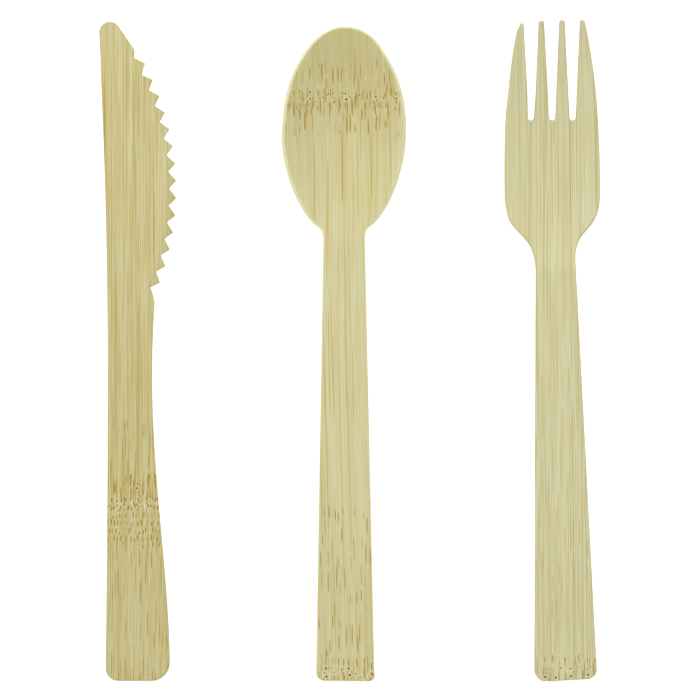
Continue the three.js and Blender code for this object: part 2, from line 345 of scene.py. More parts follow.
@dataclass(frozen=True)
class Pit:
    """A single deep pit or knot. Sizes are in millimetres.

    Args:
        x: Where it lies across the blank.
        y: How far up the blank it lies.
        radius: How large it is.
        bow: How far the fibres bow out around it, as a share of their distance from it.
        bow_reach: How far out they bow, in radii.
        bow_length: How much further they bow along the blank than across it, as a square.
    """

    x: float
    y: float
    radius: float
    bow: float = 0.0
    bow_reach: float = 4.0
    bow_length: float = 0.4

    def away(self, x: Wire, y: Wire) -> Wire:
        """Gives the distance from the pit, in its own radii."""
        return ((x - self.x).square() + (y - self.y).square()).math("SQRT") / self.radius

    def sway(self, x: Wire, y: Wire) -> Wire:
        """Gives how far the fibres are drawn aside, so that they bow out around the pit.

        Args:
            x: The place across the blank.
            y: The place along it.

        Returns:
            How far aside they are drawn at this place.
        """
        reach = self.radius * self.bow_reach
        near = ((x - self.x).square() + (y - self.y).square() * self.bow_length) / (reach * reach)
        return (x - self.x) * -self.bow / (near.square() + 1.0)


@dataclass(frozen=True)
class GrowthRing:
    """A band across a blank where the cane had a joint, with small pits scattered along it.

    Args:
        height: How far up the blank the band lies, in millimetres.
        scatter: How far the pits stray from the middle of the band.
        spacing: How far apart the pits lie.
        radius: The radius of a middling pit.
        share: The share of places that hold a pit.
        seed: What sets this ring apart from the others.
        stretch: How many times longer than wide a pit is.
        row_share: How far apart its rows of pits lie, as a share of the spacing times the stretch.
        jitter: How unevenly the pits are spread, from 0 for rows to 1.
        radii: The smallest pit and how much larger the largest is, in middling radii.
    """

    height: float
    scatter: float
    spacing: float
    radius: float
    share: float
    seed: float
    stretch: float = 1.6
    row_share: float = 0.6
    jitter: float = 0.85
    radii: Point = (0.6, 0.8)

    def nearness(self, y: Wire, reach: float) -> Wire:
        """Gives 1 in the band, falling to 0 at a reach above and below it."""
        return ((y - self.height).math("ABSOLUTE") / reach).ease(0.2, 1.0).flip()

    def away(self, tree: bpy.types.NodeTree, x: Wire, y: Wire) -> Wire:
        """Gives the distance from the nearest pit, in its own radii.

        Args:
            tree: The tree that works it out, of either kind.
            x: The place across the blank.
            y: The place along it.

        Returns:
            The distance, which is large where there is no pit near.
        """
        tall = self.spacing * self.stretch * self.row_share
        u = x / self.spacing + self.seed
        v = (y - self.height) / tall
        places = {"Vector": join_xyz(tree, u, v, 0.0), "Scale": 1.0, "Randomness": self.jitter}
        cells = add_node(tree, "ShaderNodeTexVoronoi", places, voronoi_dimensions="2D")
        across, along, _ = split_xyz(tree, cells.outputs["Position"])
        first, second, _ = split_xyz(tree, cells.outputs["Color"])
        dx = (u - across) * self.spacing
        dy = (v - along) * (tall / self.stretch)
        size = (first * self.radii[1] + self.radii[0]) * self.radius
        missing = (along.math("ABSOLUTE") * tall).above(self.scatter) + second.above(self.share)
        return (dx.square() + dy.square()).math("SQRT") / size + missing * NO_PIT


# The blanks


@dataclass
class Blank:
    """A flat piece of bamboo sheet, cut to an outline and pressed to shape. Sizes are in millimetres."""

    sheet: float = 2.0
    edge_round: float = 0.32
    row_step: float = 0.5
    ring_step: float = 0.22
    fibre_relief: float = 0.02
    ring_swelling: float = 0.05
    pit_depth: float = 0.2
    ring_rows: float = 3.0
    least_step: float = 0.1
    swelling_reach: float = 2.0
    grinding: float = 0.6
    fibre_pitch: Point = (2.2, 0.03)
    edge_fade: float = 0.3
    pit_rim: Point = (0.3, 1.3)
    rings: tuple[GrowthRing, ...] = ()
    pits: tuple[Pit, ...] = ()

    node = ""

    def edge_lines(self, width: float) -> list[float]:
        """Gives how far in from an edge the close grid lines lie that round it off."""
        reach = min(self.edge_round, width / 3)
        return [reach * share for share in EDGE_SHARES]

    def span(self, left: float, right: float, cells: int) -> list[float]:
        """Spreads grid lines between two edges, close together near each edge.

        Args:
            left: The left edge.
            right: The right edge.
            cells: How many cells lie between the close lines.

        Returns:
            The lines, from left to right.
        """
        close = self.edge_lines(right - left)
        inner = np.linspace(left + close[-1], right - close[-1], cells + 1)[1:-1]
        return [*(left + inset for inset in close), *inner, *(right - inset for inset in reversed(close))]

    def heights(self, top: float, fixed: list[float]) -> list[float]:
        """Chooses the heights of the grid's rows, closer together across the growth rings.

        Args:
            top: The highest row.
            fixed: Heights that have to be rows.

        Returns:
            The heights, rising from 0.
        """
        needed = set(np.round(fixed, 4))
        rows = needed | set(np.round(np.arange(0, top, self.row_step), 4))
        for ring in self.rings:
            band = np.arange(ring.height - self.ring_rows, ring.height + self.ring_rows, self.ring_step)
            rows |= set(np.round(band, 4))
        kept: list[float] = []
        for row in sorted(height for height in rows if 0 <= height <= top):
            close = bool(kept) and row - kept[-1] < self.least_step
            if close and row not in needed:
                continue
            if close and kept[-1] not in needed:
                kept.pop()
            kept.append(row)
        return kept

    def grid(self) -> tuple[list[list[Point]], list[list[bool]]]:
        """Gives the plan points of the blank's grid, and which of its cells are solid."""
        raise NotImplementedError

    def height(self, press: Press, x: Wire, y: Wire) -> Wire:
        """Gives how high the press lifts the underside at a plan point."""
        raise NotImplementedError

    def thinning(self, press: Press, x: Wire, y: Wire) -> Wire:
        """Gives how much of the thickness is ground away from the top, from 0 to 1."""
        return x * 0.0

    def as_cut(self, x: float, y: float) -> Point:
        """Moves a point of the even outline to where the cut has it."""
        return x, y

    def flat_mesh(self) -> bpy.types.Mesh:
        """Makes the flat blank.

        Returns:
            The mesh of its plan, with no thickness.
        """
        grid, solid = self.grid()
        columns = len(grid[0])
        used: dict[int, int] = {}
        points: list[tuple[float, float, float]] = []
        faces: list[list[int]] = []

        def number(row: int, column: int) -> int:
            """Numbers a grid corner when it is first used.

            Args:
                row: The corner's row.
                column: Its column.

            Returns:
                Its number.
            """
            key = row * columns + column
            if key not in used:
                used[key] = len(points)
                points.append((*self.as_cut(*grid[row][column]), 0.0))
            return used[key]

        for row in range(len(grid) - 1):
            for column in range(columns - 1):
                if solid[row][column]:
                    corners = ((row, column), (row, column + 1), (row + 1, column + 1), (row + 1, column))
                    faces.append([number(*corner) for corner in corners])
        mesh = bpy.data.meshes.new(f"{self.node}_blank")
        mesh.from_pydata(points, [], faces)
        mesh.update()
        return mesh

    def press(self, material: bpy.types.Material) -> Press:
        """Builds the tree that presses the blank, rounds its edges and sinks its pits.

        Args:
            material: What the piece is made of.

        Returns:
            The press.
        """
        press = Press(f"press_{self.node}")
        tree = press.tree
        blank = press.entry.outputs["Blank"]
        place = press.node("GeometryNodeInputPosition").outputs[0]
        x, y, _ = split_xyz(tree, place)
        lift = self.height(press, x, y)
        ground = self.thinning(press, x, y)
        raised = self.relief(press, x, y, ground)
        values = (self.edge_distance(press, blank), raised, ground, lift)
        kept = press.keep(blank, [*(("FLOAT", value) for value in values), ("VECTOR", place)])
        edge, raised, ground, lift = (Wire(tree, socket) for socket in kept[1:5])
        formed = press.move(kept[0], join_xyz(tree, 0.0, 0.0, lift))
        normal = press.node("GeometryNodeInputNormal").outputs[0]
        formed, normal = press.keep(formed, [("VECTOR", normal)])

        rounding = press.size("Edge Rounding", self.edge_round)
        inside = (rounding - edge).at_least(0.0)
        drop = rounding - (rounding.square() - inside.square()).at_least(0.0).math("SQRT")
        underside = press.move(formed, press.along(normal, drop))
        walls = {"Mesh": underside, "Offset Scale": 0.0, "Individual": False}
        walled = press.node("GeometryNodeExtrudeMesh", walls, mode="FACES")
        across, along, _ = split_xyz(tree, kept[5])
        pitch_x, pitch_y = self.fibre_pitch
        fibre = noise(tree, join_xyz(tree, across * pitch_x, along * pitch_y, 0.0), 2.0)
        left = ground.flip() * self.grinding + (1 - self.grinding)
        full = press.size("Sheet Thickness", self.sheet) * left
        ribs = (fibre - 0.5) * press.size("Fibre Relief", self.fibre_relief) * 2.0
        upper = full - drop * 2.0 + ribs + raised
        topped = press.move(walled.outputs[0], press.along(normal, upper), walled.outputs["Top"])
        turned = press.node("GeometryNodeFlipFaces", {0: underside}).outputs[0]
        joined = press.node("GeometryNodeJoinGeometry")
        for part in (turned, topped):
            tree.links.new(part, joined.inputs[0])
        closed = press.node("GeometryNodeMergeByDistance", {"Geometry": joined.outputs[0], "Distance": 0.001})

        # The rim mask, which the finish paints with the cut edges' colour and with painted edge shade and
        # highlight
        stored = press.store(closed.outputs[0], Field.EDGE, edge.ease(0.0, self.edge_fade).flip())
        stored = press.store(stored, Field.BEVEL, ground)
        smooth = press.node("GeometryNodeSetShadeSmooth", {"Geometry": stored, "Shade Smooth": True})
        real = press.node("GeometryNodeRealizeInstances", {"Geometry": smooth.outputs[0]})
        dressed = press.node("GeometryNodeSetMaterial", {"Geometry": real.outputs[0], "Material": material})
        tree.links.new(dressed.outputs[0], press.exit.inputs[0])
        return press

    def edge_distance(self, press: Press, blank: object) -> Wire:
        """Gives the distance from each point of the flat blank to its outline.

        Args:
            press: The press.
            blank: The flat blank.

        Returns:
            The distance.
        """
        neighbours = press.node("GeometryNodeInputMeshEdgeNeighbors").outputs[0]
        lone = press.node("FunctionNodeCompare", {2: neighbours, 3: 1}, data_type="INT", operation="EQUAL")
        rim = press.node("GeometryNodeSeparateGeometry", {0: blank, 1: lone.outputs[0]}, domain="EDGE")
        return press.distance(rim.outputs[0], "EDGES")

    def relief(self, press: Press, x: Wire, y: Wire, ground: Wire) -> Wire:
        """Gives how far the top swells at the growth rings and sinks at the pits.

        Args:
            press: The press.
            x: The place across the blank.
            y: The place along it.
            ground: How much of the thickness is ground away there.

        Returns:
            How far the top is raised.
        """
        swelling = x * 0.0
        for ring in self.rings:
            swelling = swelling.at_least(ring.nearness(y, ring.scatter + self.swelling_reach))
        small, deep = self.pit_distances(press.tree, x, y)
        pit = small.at_most(deep).ease(*self.pit_rim).flip()
        sunk = pit * press.size("Pit Depth", self.pit_depth) * ground.flip()
        return swelling * press.size("Ring Swelling", self.ring_swelling) - sunk

    def pit_distances(self, tree: bpy.types.NodeTree, x: Wire, y: Wire) -> tuple[Wire, Wire]:
        """Gives how far the nearest pits are, in their own radii.

        Args:
            tree: The tree that works it out, of either kind.
            x: The place across the blank.
            y: The place along it.

        Returns:
            The distance from the nearest small pit of a growth ring, and from the nearest deep one.
        """
        small, deep = (x * 0.0) + NO_PIT, (x * 0.0) + NO_PIT
        for ring in self.rings:
            small = small.at_most(ring.away(tree, x, y))
        for pit in self.pits:
            deep = deep.at_most(pit.away(x, y))
        return small, deep

    def place(self) -> Point:
        """Finds where the blank lies on the table from its node's box.

        Returns:
            The places of its middle line and of its butt, in metres.
        """
        grid, _ = self.grid()
        xs = [x for row in grid for x, _ in row]
        ys = [y for row in grid for _, y in row]
        low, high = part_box(self.node)
        middle = (low[0] + high[0]) / 2 - MM * (min(xs) + max(xs)) / 2
        return middle, high[1] - MM * max(ys)

    def build(self, finish: "BambooFinish") -> bpy.types.Object:
        """Presses the blank into the finished piece, and lets it stand for its node.

        Args:
            finish: What the piece looks like.

        Returns:
            The piece.
        """
        middle, butt = self.place()
        material = finish.material(self, middle, butt)
        press = self.press(material)
        blank = bpy.data.objects.new(f"{self.node}_blank", self.flat_mesh())
        bpy.context.scene.collection.objects.link(blank)
        modifier = blank.modifiers.new("press", "NODES")
        modifier.node_group = press.tree
        for socket in press.tree.interface.items_tree:
            if socket.in_out == "INPUT" and socket.name in press.sizes:
                modifier[socket.identifier] = press.sizes[socket.name]
        bpy.context.view_layer.update()
        pressed = blank.evaluated_get(bpy.context.evaluated_depsgraph_get())
        mesh = bpy.data.meshes.new_from_object(pressed)
        bpy.data.objects.remove(blank)
        mesh.transform(Matrix.Translation(Vector((middle, butt, 0))) @ Matrix.Scale(MM, 4))
        mesh.name = f"bamboo_{self.node}"
        piece = bpy.data.objects.new(f"bamboo_{self.node}", mesh)
        bpy.context.scene.collection.objects.link(piece)
        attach(piece, "root")
        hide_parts(self.node)
        return piece


def round_corner(radius: float, y: float) -> float:
    """Gives how much a round butt corner draws the side in.

    Args:
        radius: The corner's radius.
        y: The height above the butt.

    Returns:
        How far in the side lies at that height.
    """
    if y >= radius:
        return 0.0
    rise = radius - max(y, 0.0)
    return radius - math.sqrt(radius * radius - rise * rise)


def corner_heights(radius: float) -> list[float]:
    """Gives row heights that follow a round butt corner closely."""
    arc = [radius * (1 - math.cos(angle)) for angle in np.linspace(0, math.pi / 2, 9)]
    return [*BUTT_STEPS, *arc[3:]]


def tapered_handle(butt: float, neck: float, length: float, corner: float) -> list[Point]:
    """Gives half widths and heights of a tapered handle, from its round-cornered butt to below its neck."""
    heights = (*corner_heights(corner), *np.arange(corner + 1, length, 4))
    return [(mix(butt, neck, y / length) / 2 - round_corner(corner, y), y) for y in heights]


@dataclass
class KnifeBlank(Blank):
    """The knife: a tapered handle and a bellied blade with a toothed, bevelled edge."""

    handle_length: float = 101.5
    butt_width: float = 16.4
    waist_width: float = 11.3
    waist_height: float = 80.0
    heel_width: float = 12.0
    heel_drop: float = 4.5
    back_corner: float = 3.2
    front_corner: float = 4.7
    butt_flare: float = 0.55
    taper_power: float = 1.08
    heel_power: float = 1.7
    heel_swell: float = 1.8
    back_sweep: float = 2.45
    blade_reach: float = 17.6
    belly_radius: float = 69.0
    belly_height: float = 25.0
    tooth_depth: float = 2.0
    tooth_pitch: float = 4.475
    top_tooth_pitch: float = 5.05
    teeth: int = 14
    tooth_lean: float = 0.45
    bevel_margin: float = 0.5
    bevel_fade: float = 2.0
    bevel_limits: Point = (0.55, 0.92)
    nose_length: float = 9.3
    nose_radius: float = 2.65
    nose_shoulder: float = 2.1
    nose_step: float = 0.2
    nose_turn: float = 0.45
    nose_fullness: float = 0.36
    nose_fade: float = 0.75
    tooth_fade: float = 2.5
    back_fullness: float = 0.11
    back_reach: float = 6.0
    beside_teeth: tuple[float, ...] = (-0.3, -0.1, 0.1, 0.3)
    body_cells: int = 38
    bevel_cells: int = 13

    node = "knife"

    def __post_init__(self) -> None:
        """Works out the places that follow from the sizes."""
        self.back_x = -self.waist_width / 2
        self.heel_y = self.handle_length - self.heel_drop
        self.root_radius = self.belly_radius - self.tooth_depth
        centre_x = self.back_x + self.blade_reach - self.belly_radius
        self.centre = (centre_x, self.handle_length + self.belly_height)
        self.heel_angle = -math.asin(self.belly_height / self.root_radius)
        self.tooth_angle = self.tooth_pitch / self.belly_radius
        toothed = (self.teeth - 1) * self.tooth_pitch + self.top_tooth_pitch
        self.top_angle = self.heel_angle + toothed / self.belly_radius
        self.root_top = self.on_belly(self.root_radius, self.top_angle)
        self.length = self.root_top[1] + self.nose_length

    def on_belly(self, radius: float, angle: float) -> Point:
        """Gives a point on an arc about the belly's centre."""
        return self.centre[0] + radius * math.cos(angle), self.centre[1] + radius * math.sin(angle)

    def back(self, y: float) -> float:
        """Gives the back edge before the nose and the butt are rounded.

        Args:
            y: The height above the butt.

        Returns:
            The edge's place across the blank.
        """
        if y < self.waist_height:
            return self.back_x - self.butt_flare * (1 - y / self.waist_height) ** 2
        share = (y - self.waist_height) / (self.length - self.waist_height)
        return self.back_x - self.back_sweep * share * share

    def handle_front(self, y: float) -> float:
        """Gives the front edge of the handle.

        Args:
            y: The height above the butt.

        Returns:
            The edge's place across the blank.
        """
        if y < self.waist_height:
            share = ease(0, 1, (1 - y / self.waist_height) ** self.taper_power)
            return self.back(y) + mix(self.waist_width, self.butt_width, share)
        share = min(max((y - self.waist_height) / (self.heel_y - self.waist_height), 0), 1) ** self.heel_power
        return self.back(y) + mix(self.waist_width, self.heel_width, share)

    def teeth_points(self) -> list[Point]:
        """Draws the cutting edge.

        Returns:
            Its corners, from the heel up to the last root below the nose.
        """
        points = [self.on_belly(self.root_radius, self.heel_angle)]
        for tooth in range(self.teeth):
            root = self.heel_angle + tooth * self.tooth_angle
            following = root + self.tooth_angle if tooth < self.teeth - 1 else self.top_angle
            points.append(self.on_belly(self.belly_radius, mix(root, following, self.tooth_lean)))
            points.append(self.on_belly(self.root_radius, following))
        return points

    def nose_points(self) -> tuple[list[Point], Point]:
        """Draws the front of the nose.

        Returns:
            Its points, up to its round end, and the centre of that end.
        """
        shoulder = (self.root_top[0] + self.nose_step, self.root_top[1] + self.nose_shoulder)
        middle = self.length - self.nose_radius
        centre = (self.back(middle) + self.nose_radius, middle)
        reach = (shoulder[0] - centre[0], shoulder[1] - centre[1])
        tangent = math.atan2(reach[1], reach[0]) + math.acos(self.nose_radius / math.hypot(*reach))
        arc = [
            (centre[0] + self.nose_radius * math.cos(angle), centre[1] + self.nose_radius * math.sin(angle))
            for angle in np.linspace(tangent, math.pi * self.nose_turn, 12)
        ]
        return [shoulder, *arc], centre

    def front_points(self) -> list[Point]:
        """Draws the whole front edge.

        Returns:
            Its points, from the butt to the nose.
        """
        heights = (*corner_heights(self.front_corner), *np.arange(self.front_corner + 0.5, self.heel_y, 0.8))
        handle = [(self.handle_front(y) - round_corner(self.front_corner, y), y) for y in heights]
        teeth = self.teeth_points()
        from_x, to_x = self.handle_front(self.heel_y), teeth[0][0]
        heel = [(mix(from_x, to_x, share ** self.heel_swell), mix(self.heel_y, self.handle_length, share))
                for share in np.linspace(0, 1, 8)[:-1]]
        return [*handle, *heel, *teeth, *self.nose_points()[0]]

    def bevel_line(self, y: float, left: float, right: float) -> float:
        """Gives the inner line of the bevel, kept inside the outline away from the teeth.

        Args:
            y: The height above the butt.
            left: The back edge there.
            right: The front edge there.

        Returns:
            The line's place across the blank.
        """
        radius = self.root_radius - self.bevel_margin
        rise = y - self.centre[1]
        line = self.centre[0] + math.sqrt(max(radius * radius - rise * rise, 0))
        low, high = (mix(left, right, limit) for limit in self.bevel_limits)
        return min(max(line, low), high)

    def grid(self) -> tuple[list[list[Point]], list[list[bool]]]:
        """Lays the knife's grid, all of whose cells are solid.

        Returns:
            Its plan points, row by row, and which of its cells are solid.
        """
        front = self.front_points()
        xs, ys = zip(*front)
        nose, centre = self.nose_points()
        top = nose[-1][1]
        teeth = [y for _, y in self.teeth_points()]
        beside = [y + offset for y in teeth for offset in self.beside_teeth]
        ends = [*corner_heights(self.front_corner), *(top - step for step in END_STEPS)]
        rows = []
        for y in self.heights(top, [*ends, *teeth, *beside, *(y for _, y in nose)]):
            left = self.back(y) + round_corner(self.back_corner, y)
            if y > centre[1]:
                left = centre[0] - math.sqrt(max(self.nose_radius ** 2 - (y - centre[1]) ** 2, 0))
            right = float(np.interp(y, ys, xs))
            inner = self.bevel_line(y, left, right)
            close = self.edge_lines(right - left)
            body = np.linspace(left + close[-1], inner, self.body_cells + 1)[1:]
            bevel = np.linspace(inner, right - close[-1] / 2, self.bevel_cells + 1)[1:]
            lines = (*(left + inset for inset in close), *body, *bevel, right - close[1], right)
            rows.append([(x, y) for x in lines])
        return rows, [[True] * len(rows[0])] * len(rows)

    def as_cut(self, x: float, y: float) -> Point:
        """Moves a point of the even outline out to the cut, fuller under the nose and along the back.

        Args:
            x: The point's place across the blank.
            y: Its place along it.

        Returns:
            Where the cut has it.
        """
        above = y - self.root_top[1]
        inward = x - self.back(y)
        on_nose = self.nose_fade * above / self.nose_length
        faded = on_nose if above > 0 else ease(0, self.tooth_fade, -above)
        front = self.nose_fullness * (1 - faded) * ease(0, PULL, inward)
        back = self.back_fullness * ease(0, PULL, -above) * (1 - ease(0, self.back_reach, inward))
        return x + front - back, y

    def height(self, press: Press, x: Wire, y: Wire) -> Wire:
        """The knife lies flat."""
        return x * 0.0

    def thinning(self, press: Press, x: Wire, y: Wire) -> Wire:
        """Grinds the teeth down towards their tips.

        Args:
            press: The press.
            x: The place across the blank.
            y: The place along it.

        Returns:
            How much of the thickness is ground away, from 0 to 1.
        """
        across = x - press.size("Belly Centre X", self.centre[0])
        along = y - press.size("Belly Centre Y", self.centre[1])
        radius = (across.square() + along.square()).math("SQRT")
        inner = self.root_radius - self.bevel_margin
        share = (radius - inner) / (self.belly_radius - inner)
        heel = y.ease(self.handle_length - self.bevel_fade, self.handle_length)
        nose = y.ease(self.root_top[1], self.root_top[1] + self.bevel_fade).flip()
        return share.at_least(0.0).at_most(1.0) * heel * nose


@dataclass
class SpoonBlank(Blank):
    """The spoon: a straight tapered handle and an egg-shaped dished bowl."""

    butt_width: float = 15.0
    neck_width: float = 10.56
    handle_length: float = 114.2
    butt_corner: float = 2.1
    handle_skew: float = 0.3
    bowl_width: float = 31.84
    widest_height: float = 28.3
    tip_length: float = 26.25
    tip_roundness: float = 1.94
    tip_flat: float = 1.6
    tip_rows: float = 3.0
    shoulder_reach: float = 13.8
    shoulder_arm: Point = (3.0, 1.5)
    neck_flare: float = 1.2
    flare_height: float = 2.9
    flare_arm: float = 2.2
    bowl_depth: float = 5.0
    deepest_height: float = 24.5
    neck_reach: float = 2.0
    rim_share: float = 1.2
    handle_arch: float = 0.8
    dish_spread: float = 0.62 * math.pi
    cells: int = 96

    # How far the cut is fuller, and between which heights it comes and goes: at the bowl from its
    # neck up, and low on the bowl, at its sides and at its tip from its widest line up
    left_fullness: float = 0.13
    right_fullness: float = 0.13
    low_fullness: float = 0.38
    tip_fullness: float = 0.5
    bowl_start: Point = (-1.0, 3.0)
    low_end: Point = (-4.0, 2.0)
    sides_end: Point = (12.0, 18.0)
    tip_start: Point = (19.0, 24.0)
    butt_slant: float = 0.012
    corner_fullness: float = 0.5
    corner_reach: float = 3.0

    node = "spoon"

    def __post_init__(self) -> None:
        """Works out the height of the bowl's widest line."""
        self.widest_y = self.handle_length + self.widest_height

    def middle(self, y: float) -> float:
        """Gives how far the handle's middle line is off the bowl's at a height."""
        return self.handle_skew * (1 - min(max(y / self.handle_length, 0), 1))

    def half_points(self) -> list[Point]:
        """Draws the side of the spoon.

        Returns:
            Half widths and heights, from the butt to the bowl's tip.
        """
        neck, wide, base = self.neck_width / 2, self.bowl_width / 2, self.handle_length
        handle = tapered_handle(self.butt_width, self.neck_width, base, self.butt_corner)
        join = (neck + self.neck_flare, base + self.flare_height)
        flare = [(neck, base), (neck, base + self.flare_arm), join]
        arm = (join[0] + self.shoulder_arm[0], join[1] + self.shoulder_arm[1])
        shoulder = [join, arm, (wide, self.widest_y - self.shoulder_reach), (wide, self.widest_y)]
        power = 2 / self.tip_roundness
        last = math.acos((self.tip_flat / self.bowl_width) ** (1 / power))
        tip = [(wide * math.cos(angle) ** power, self.widest_y + self.tip_length * math.sin(angle) ** power)
               for angle in np.linspace(0, last, 60)]
        return [*handle, *bezier(flare, 8)[:-1], *bezier(shoulder, 50)[:-1], *tip]

    def grid(self) -> tuple[list[list[Point]], list[list[bool]]]:
        """Lays the spoon's grid, all of whose cells are solid.

        Returns:
            Its plan points, row by row, and which of its cells are solid.
        """
        xs, ys = zip(*self.half_points())
        top = ys[-1]
        ends = [*corner_heights(self.butt_corner), *(top - step for step in END_STEPS)]
        rows = []
        for y in self.heights(top, [*ends, *(y for y in ys if y > top - self.tip_rows)]):
            half = float(np.interp(y, ys, xs))
            rows.append([(self.middle(y) + x, y) for x in self.span(-half, half, self.cells)])
        return rows, [[True] * len(rows[0])] * len(rows)

    def as_cut(self, x: float, y: float) -> Point:
        """Moves a point of the even outline out to the cut, fuller low on the left and right of the tip.

        Args:
            x: The point's place across the blank.
            y: Its place along it.

        Returns:
            Where the cut has it.
        """
        above = y - self.widest_y
        bowl = ease(*self.bowl_start, y - self.handle_length)
        low = bowl * (1 - ease(*self.low_end, above))
        below_tip = 1 - ease(*self.sides_end, above)
        left = self.left_fullness * below_tip + self.low_fullness * low
        right = self.right_fullness * bowl * below_tip + self.tip_fullness * ease(*self.tip_start, above)
        right += self.corner_fullness * (1 - ease(0, self.corner_reach, y))
        slant = self.butt_slant * (self.butt_width / 2 - x) * (1 - ease(0, SLANT_REACH, y))
        return x + right * ease(0, PULL, x) - left * ease(0, PULL, -x), y + slant

    def height(self, press: Press, x: Wire, y: Wire) -> Wire:
        """Dishes the bowl, and lifts the handle to meet its rim.

        Args:
            press: The press.
            x: The place across the blank.
            y: The place along it.

        Returns:
            How high the underside lies.
        """
        depth = press.size("Bowl Depth", self.bowl_depth)
        deepest = self.handle_length + self.deepest_height
        up = 1 / (self.widest_height + self.tip_length - self.deepest_height)
        down = 1 / (self.deepest_height + self.neck_reach)
        scale = y.above(deepest).blend(down, up)
        radius = ((x / (self.bowl_width / 2)).square() + ((y - deepest) * scale).square()).math("SQRT")
        full = 1 - math.cos(self.dish_spread)
        bowl = (radius.at_most(self.rim_share) * self.dish_spread).math("COSINE").flip() * depth / full
        handle = raised_handle(press, y, self.handle_length, depth, self.handle_arch)
        return over_neck(y, self.handle_length, handle, bowl)


@dataclass
class ForkBlank(Blank):
    """The fork: a leaning tapered handle and a head of four tines."""

    butt_width: float = 16.1
    neck_width: float = 10.1
    handle_length: float = 106.0
    butt_corner: float = 2.6
    handle_skew: float = 3.4
    lean_length: float = 138.0
    lean_end: Point = (-1.0, 11.0)
    head_width: float = 24.5
    shoulder_length: float = 20.0
    shoulder_swell: float = 12.0
    tip_span: float = 16.9
    tip_power: float = 2.6
    slot_pitch: float = 5.3
    slot_mouth: float = 3.9
    slot_root: float = 1.66
    slot_depth: float = 25.8
    slot_start: float = 0.96
    web_length: float = 18.5
    shortfalls: tuple[float, ...] = (0.8, 0.2, 0.0, 0.0)
    tip_corner: float = 0.4
    first_pinch: float = 0.62
    first_pinch_length: float = 2.6
    first_pinch_power: float = 1.5
    tine_rise: float = 5.5
    neck_rise: float = 4.4
    lowest_height: float = 22.0
    head_dish: float = 0.7
    handle_arch: float = 0.8
    tine_cells: int = 8
    slot_cells: int = 3
    tine_rows: int = 51

    # How far the cut is fuller, and between which heights it comes and goes: on the left from the
    # butt up, at its end from the slots' roots up, and at the hip from the neck up
    left_fullness: float = 0.24
    left_start: Point = (35.0, 60.0)
    left_end: Point = (0.0, 8.0)
    start_share: float = 0.5
    hip_fullness: float = 0.45
    hip_start: Point = (5.0, 10.0)
    hip_end: Point = (11.5, 16.0)
    tine_lean: float = 0.4
    butt_slant: float = 0.03
    corner_inset: float = 0.4
    corner_reach: float = 3.5

    node = "fork"

    def __post_init__(self) -> None:
        """Works out the places that follow from the sizes."""
        self.shoulder_y = self.handle_length + self.shoulder_length
        self.slot_bottom = self.shoulder_y + self.web_length
        self.slot_round = self.slot_bottom + self.slot_root / 2
        self.length = self.slot_bottom + self.slot_depth
        self.lean = self.handle_skew / self.lean_length

    def middle(self, y: float) -> float:
        """Gives how far the handle's middle line is off the head's at a height."""
        straight = ease(*self.lean_end, y - self.handle_length)
        return (self.handle_skew - self.lean * y) * (1 - straight)

    def half_points(self) -> list[Point]:
        """Draws the side of the fork below its tines.

        Returns:
            Half widths and heights, from the butt to the shoulders.
        """
        neck, wide = self.neck_width / 2, self.head_width / 2
        handle = tapered_handle(self.butt_width, self.neck_width, self.handle_length, self.butt_corner)
        shoulder = [(neck, self.handle_length), (neck, self.handle_length + self.shoulder_swell),
                    (wide, self.shoulder_y - self.shoulder_swell), (wide, self.shoulder_y)]
        return [*handle, *bezier(shoulder, 40)]

    def head_half(self, y: float) -> float:
        """Gives half the head's width above its shoulders."""
        share = max(y - self.shoulder_y, 0) / (self.length - self.shoulder_y)
        return mix(self.head_width, self.tip_span, share ** self.tip_power) / 2

    def slot_half(self, y: float) -> float:
        """Gives half a slot's width.

        Args:
            y: The height above the butt.

        Returns:
            Half the width, which is round at the slot's root.
        """
        if y < self.slot_round:
            drop = min((self.slot_round - y) / (self.slot_root / 2), self.slot_start)
            return self.slot_root / 2 * math.sqrt(1 - drop * drop)
        share = (y - self.slot_round) / (self.length - self.slot_round)
        return mix(self.slot_root, self.slot_mouth, share) / 2

    def head_lines(self, y: float) -> list[float]:
        """Gives the plan lines of the head.

        Args:
            y: The height above the butt.

        Returns:
            The left edge, both sides of each slot, and the right edge.
        """
        half, opening = self.head_half(y), self.slot_half(y)
        sides = [slot * self.slot_pitch + side * opening for slot in (-1, 0, 1) for side in (-1, 1)]
        return [-half, *sides, half]

    def lay_row(self, lines: list[float], heights: list[float]) -> list[Point]:
        """Lays one row of points across the tines and the slots between them.

        Args:
            lines: The eight plan lines.
            heights: The height of the row on each tine.

        Returns:
            The row's points, from left to right.
        """
        row: list[Point] = []
        for tine, y in enumerate(heights):
            left, right = lines[2 * tine:2 * tine + 2]
            xs = self.span(left, right, self.tine_cells)
            if tine:
                xs = [*np.linspace(lines[2 * tine - 1], left, self.slot_cells + 1)[1:-1], *xs]
            tilt = self.lean * max(1 - y / self.handle_length, 0)
            row += [(x + self.middle(y), y + x * tilt) for x in xs]
        return row

    def solid_row(self, y: float, half: float) -> list[Point]:
        """Lays a row where the blank has no slots.

        Args:
            y: The row's height.
            half: Half its width.

        Returns:
            The row's points, from left to right.
        """
        web = self.head_lines(self.slot_bottom)
        share = ease(self.handle_length, self.slot_bottom, y)
        even = np.linspace(-1, 1, len(web))
        lines = [half * mix(*pair, share) for pair in zip(even, (x / web[-1] for x in web))]
        return self.lay_row(lines, [y] * 4)

    def first_inset(self, y: float) -> float:
        """Gives how far the first tine's outer side is drawn in near its tip."""
        below = self.length - self.shortfalls[0] - y
        return self.first_pinch * max(1 - below / self.first_pinch_length, 0) ** self.first_pinch_power

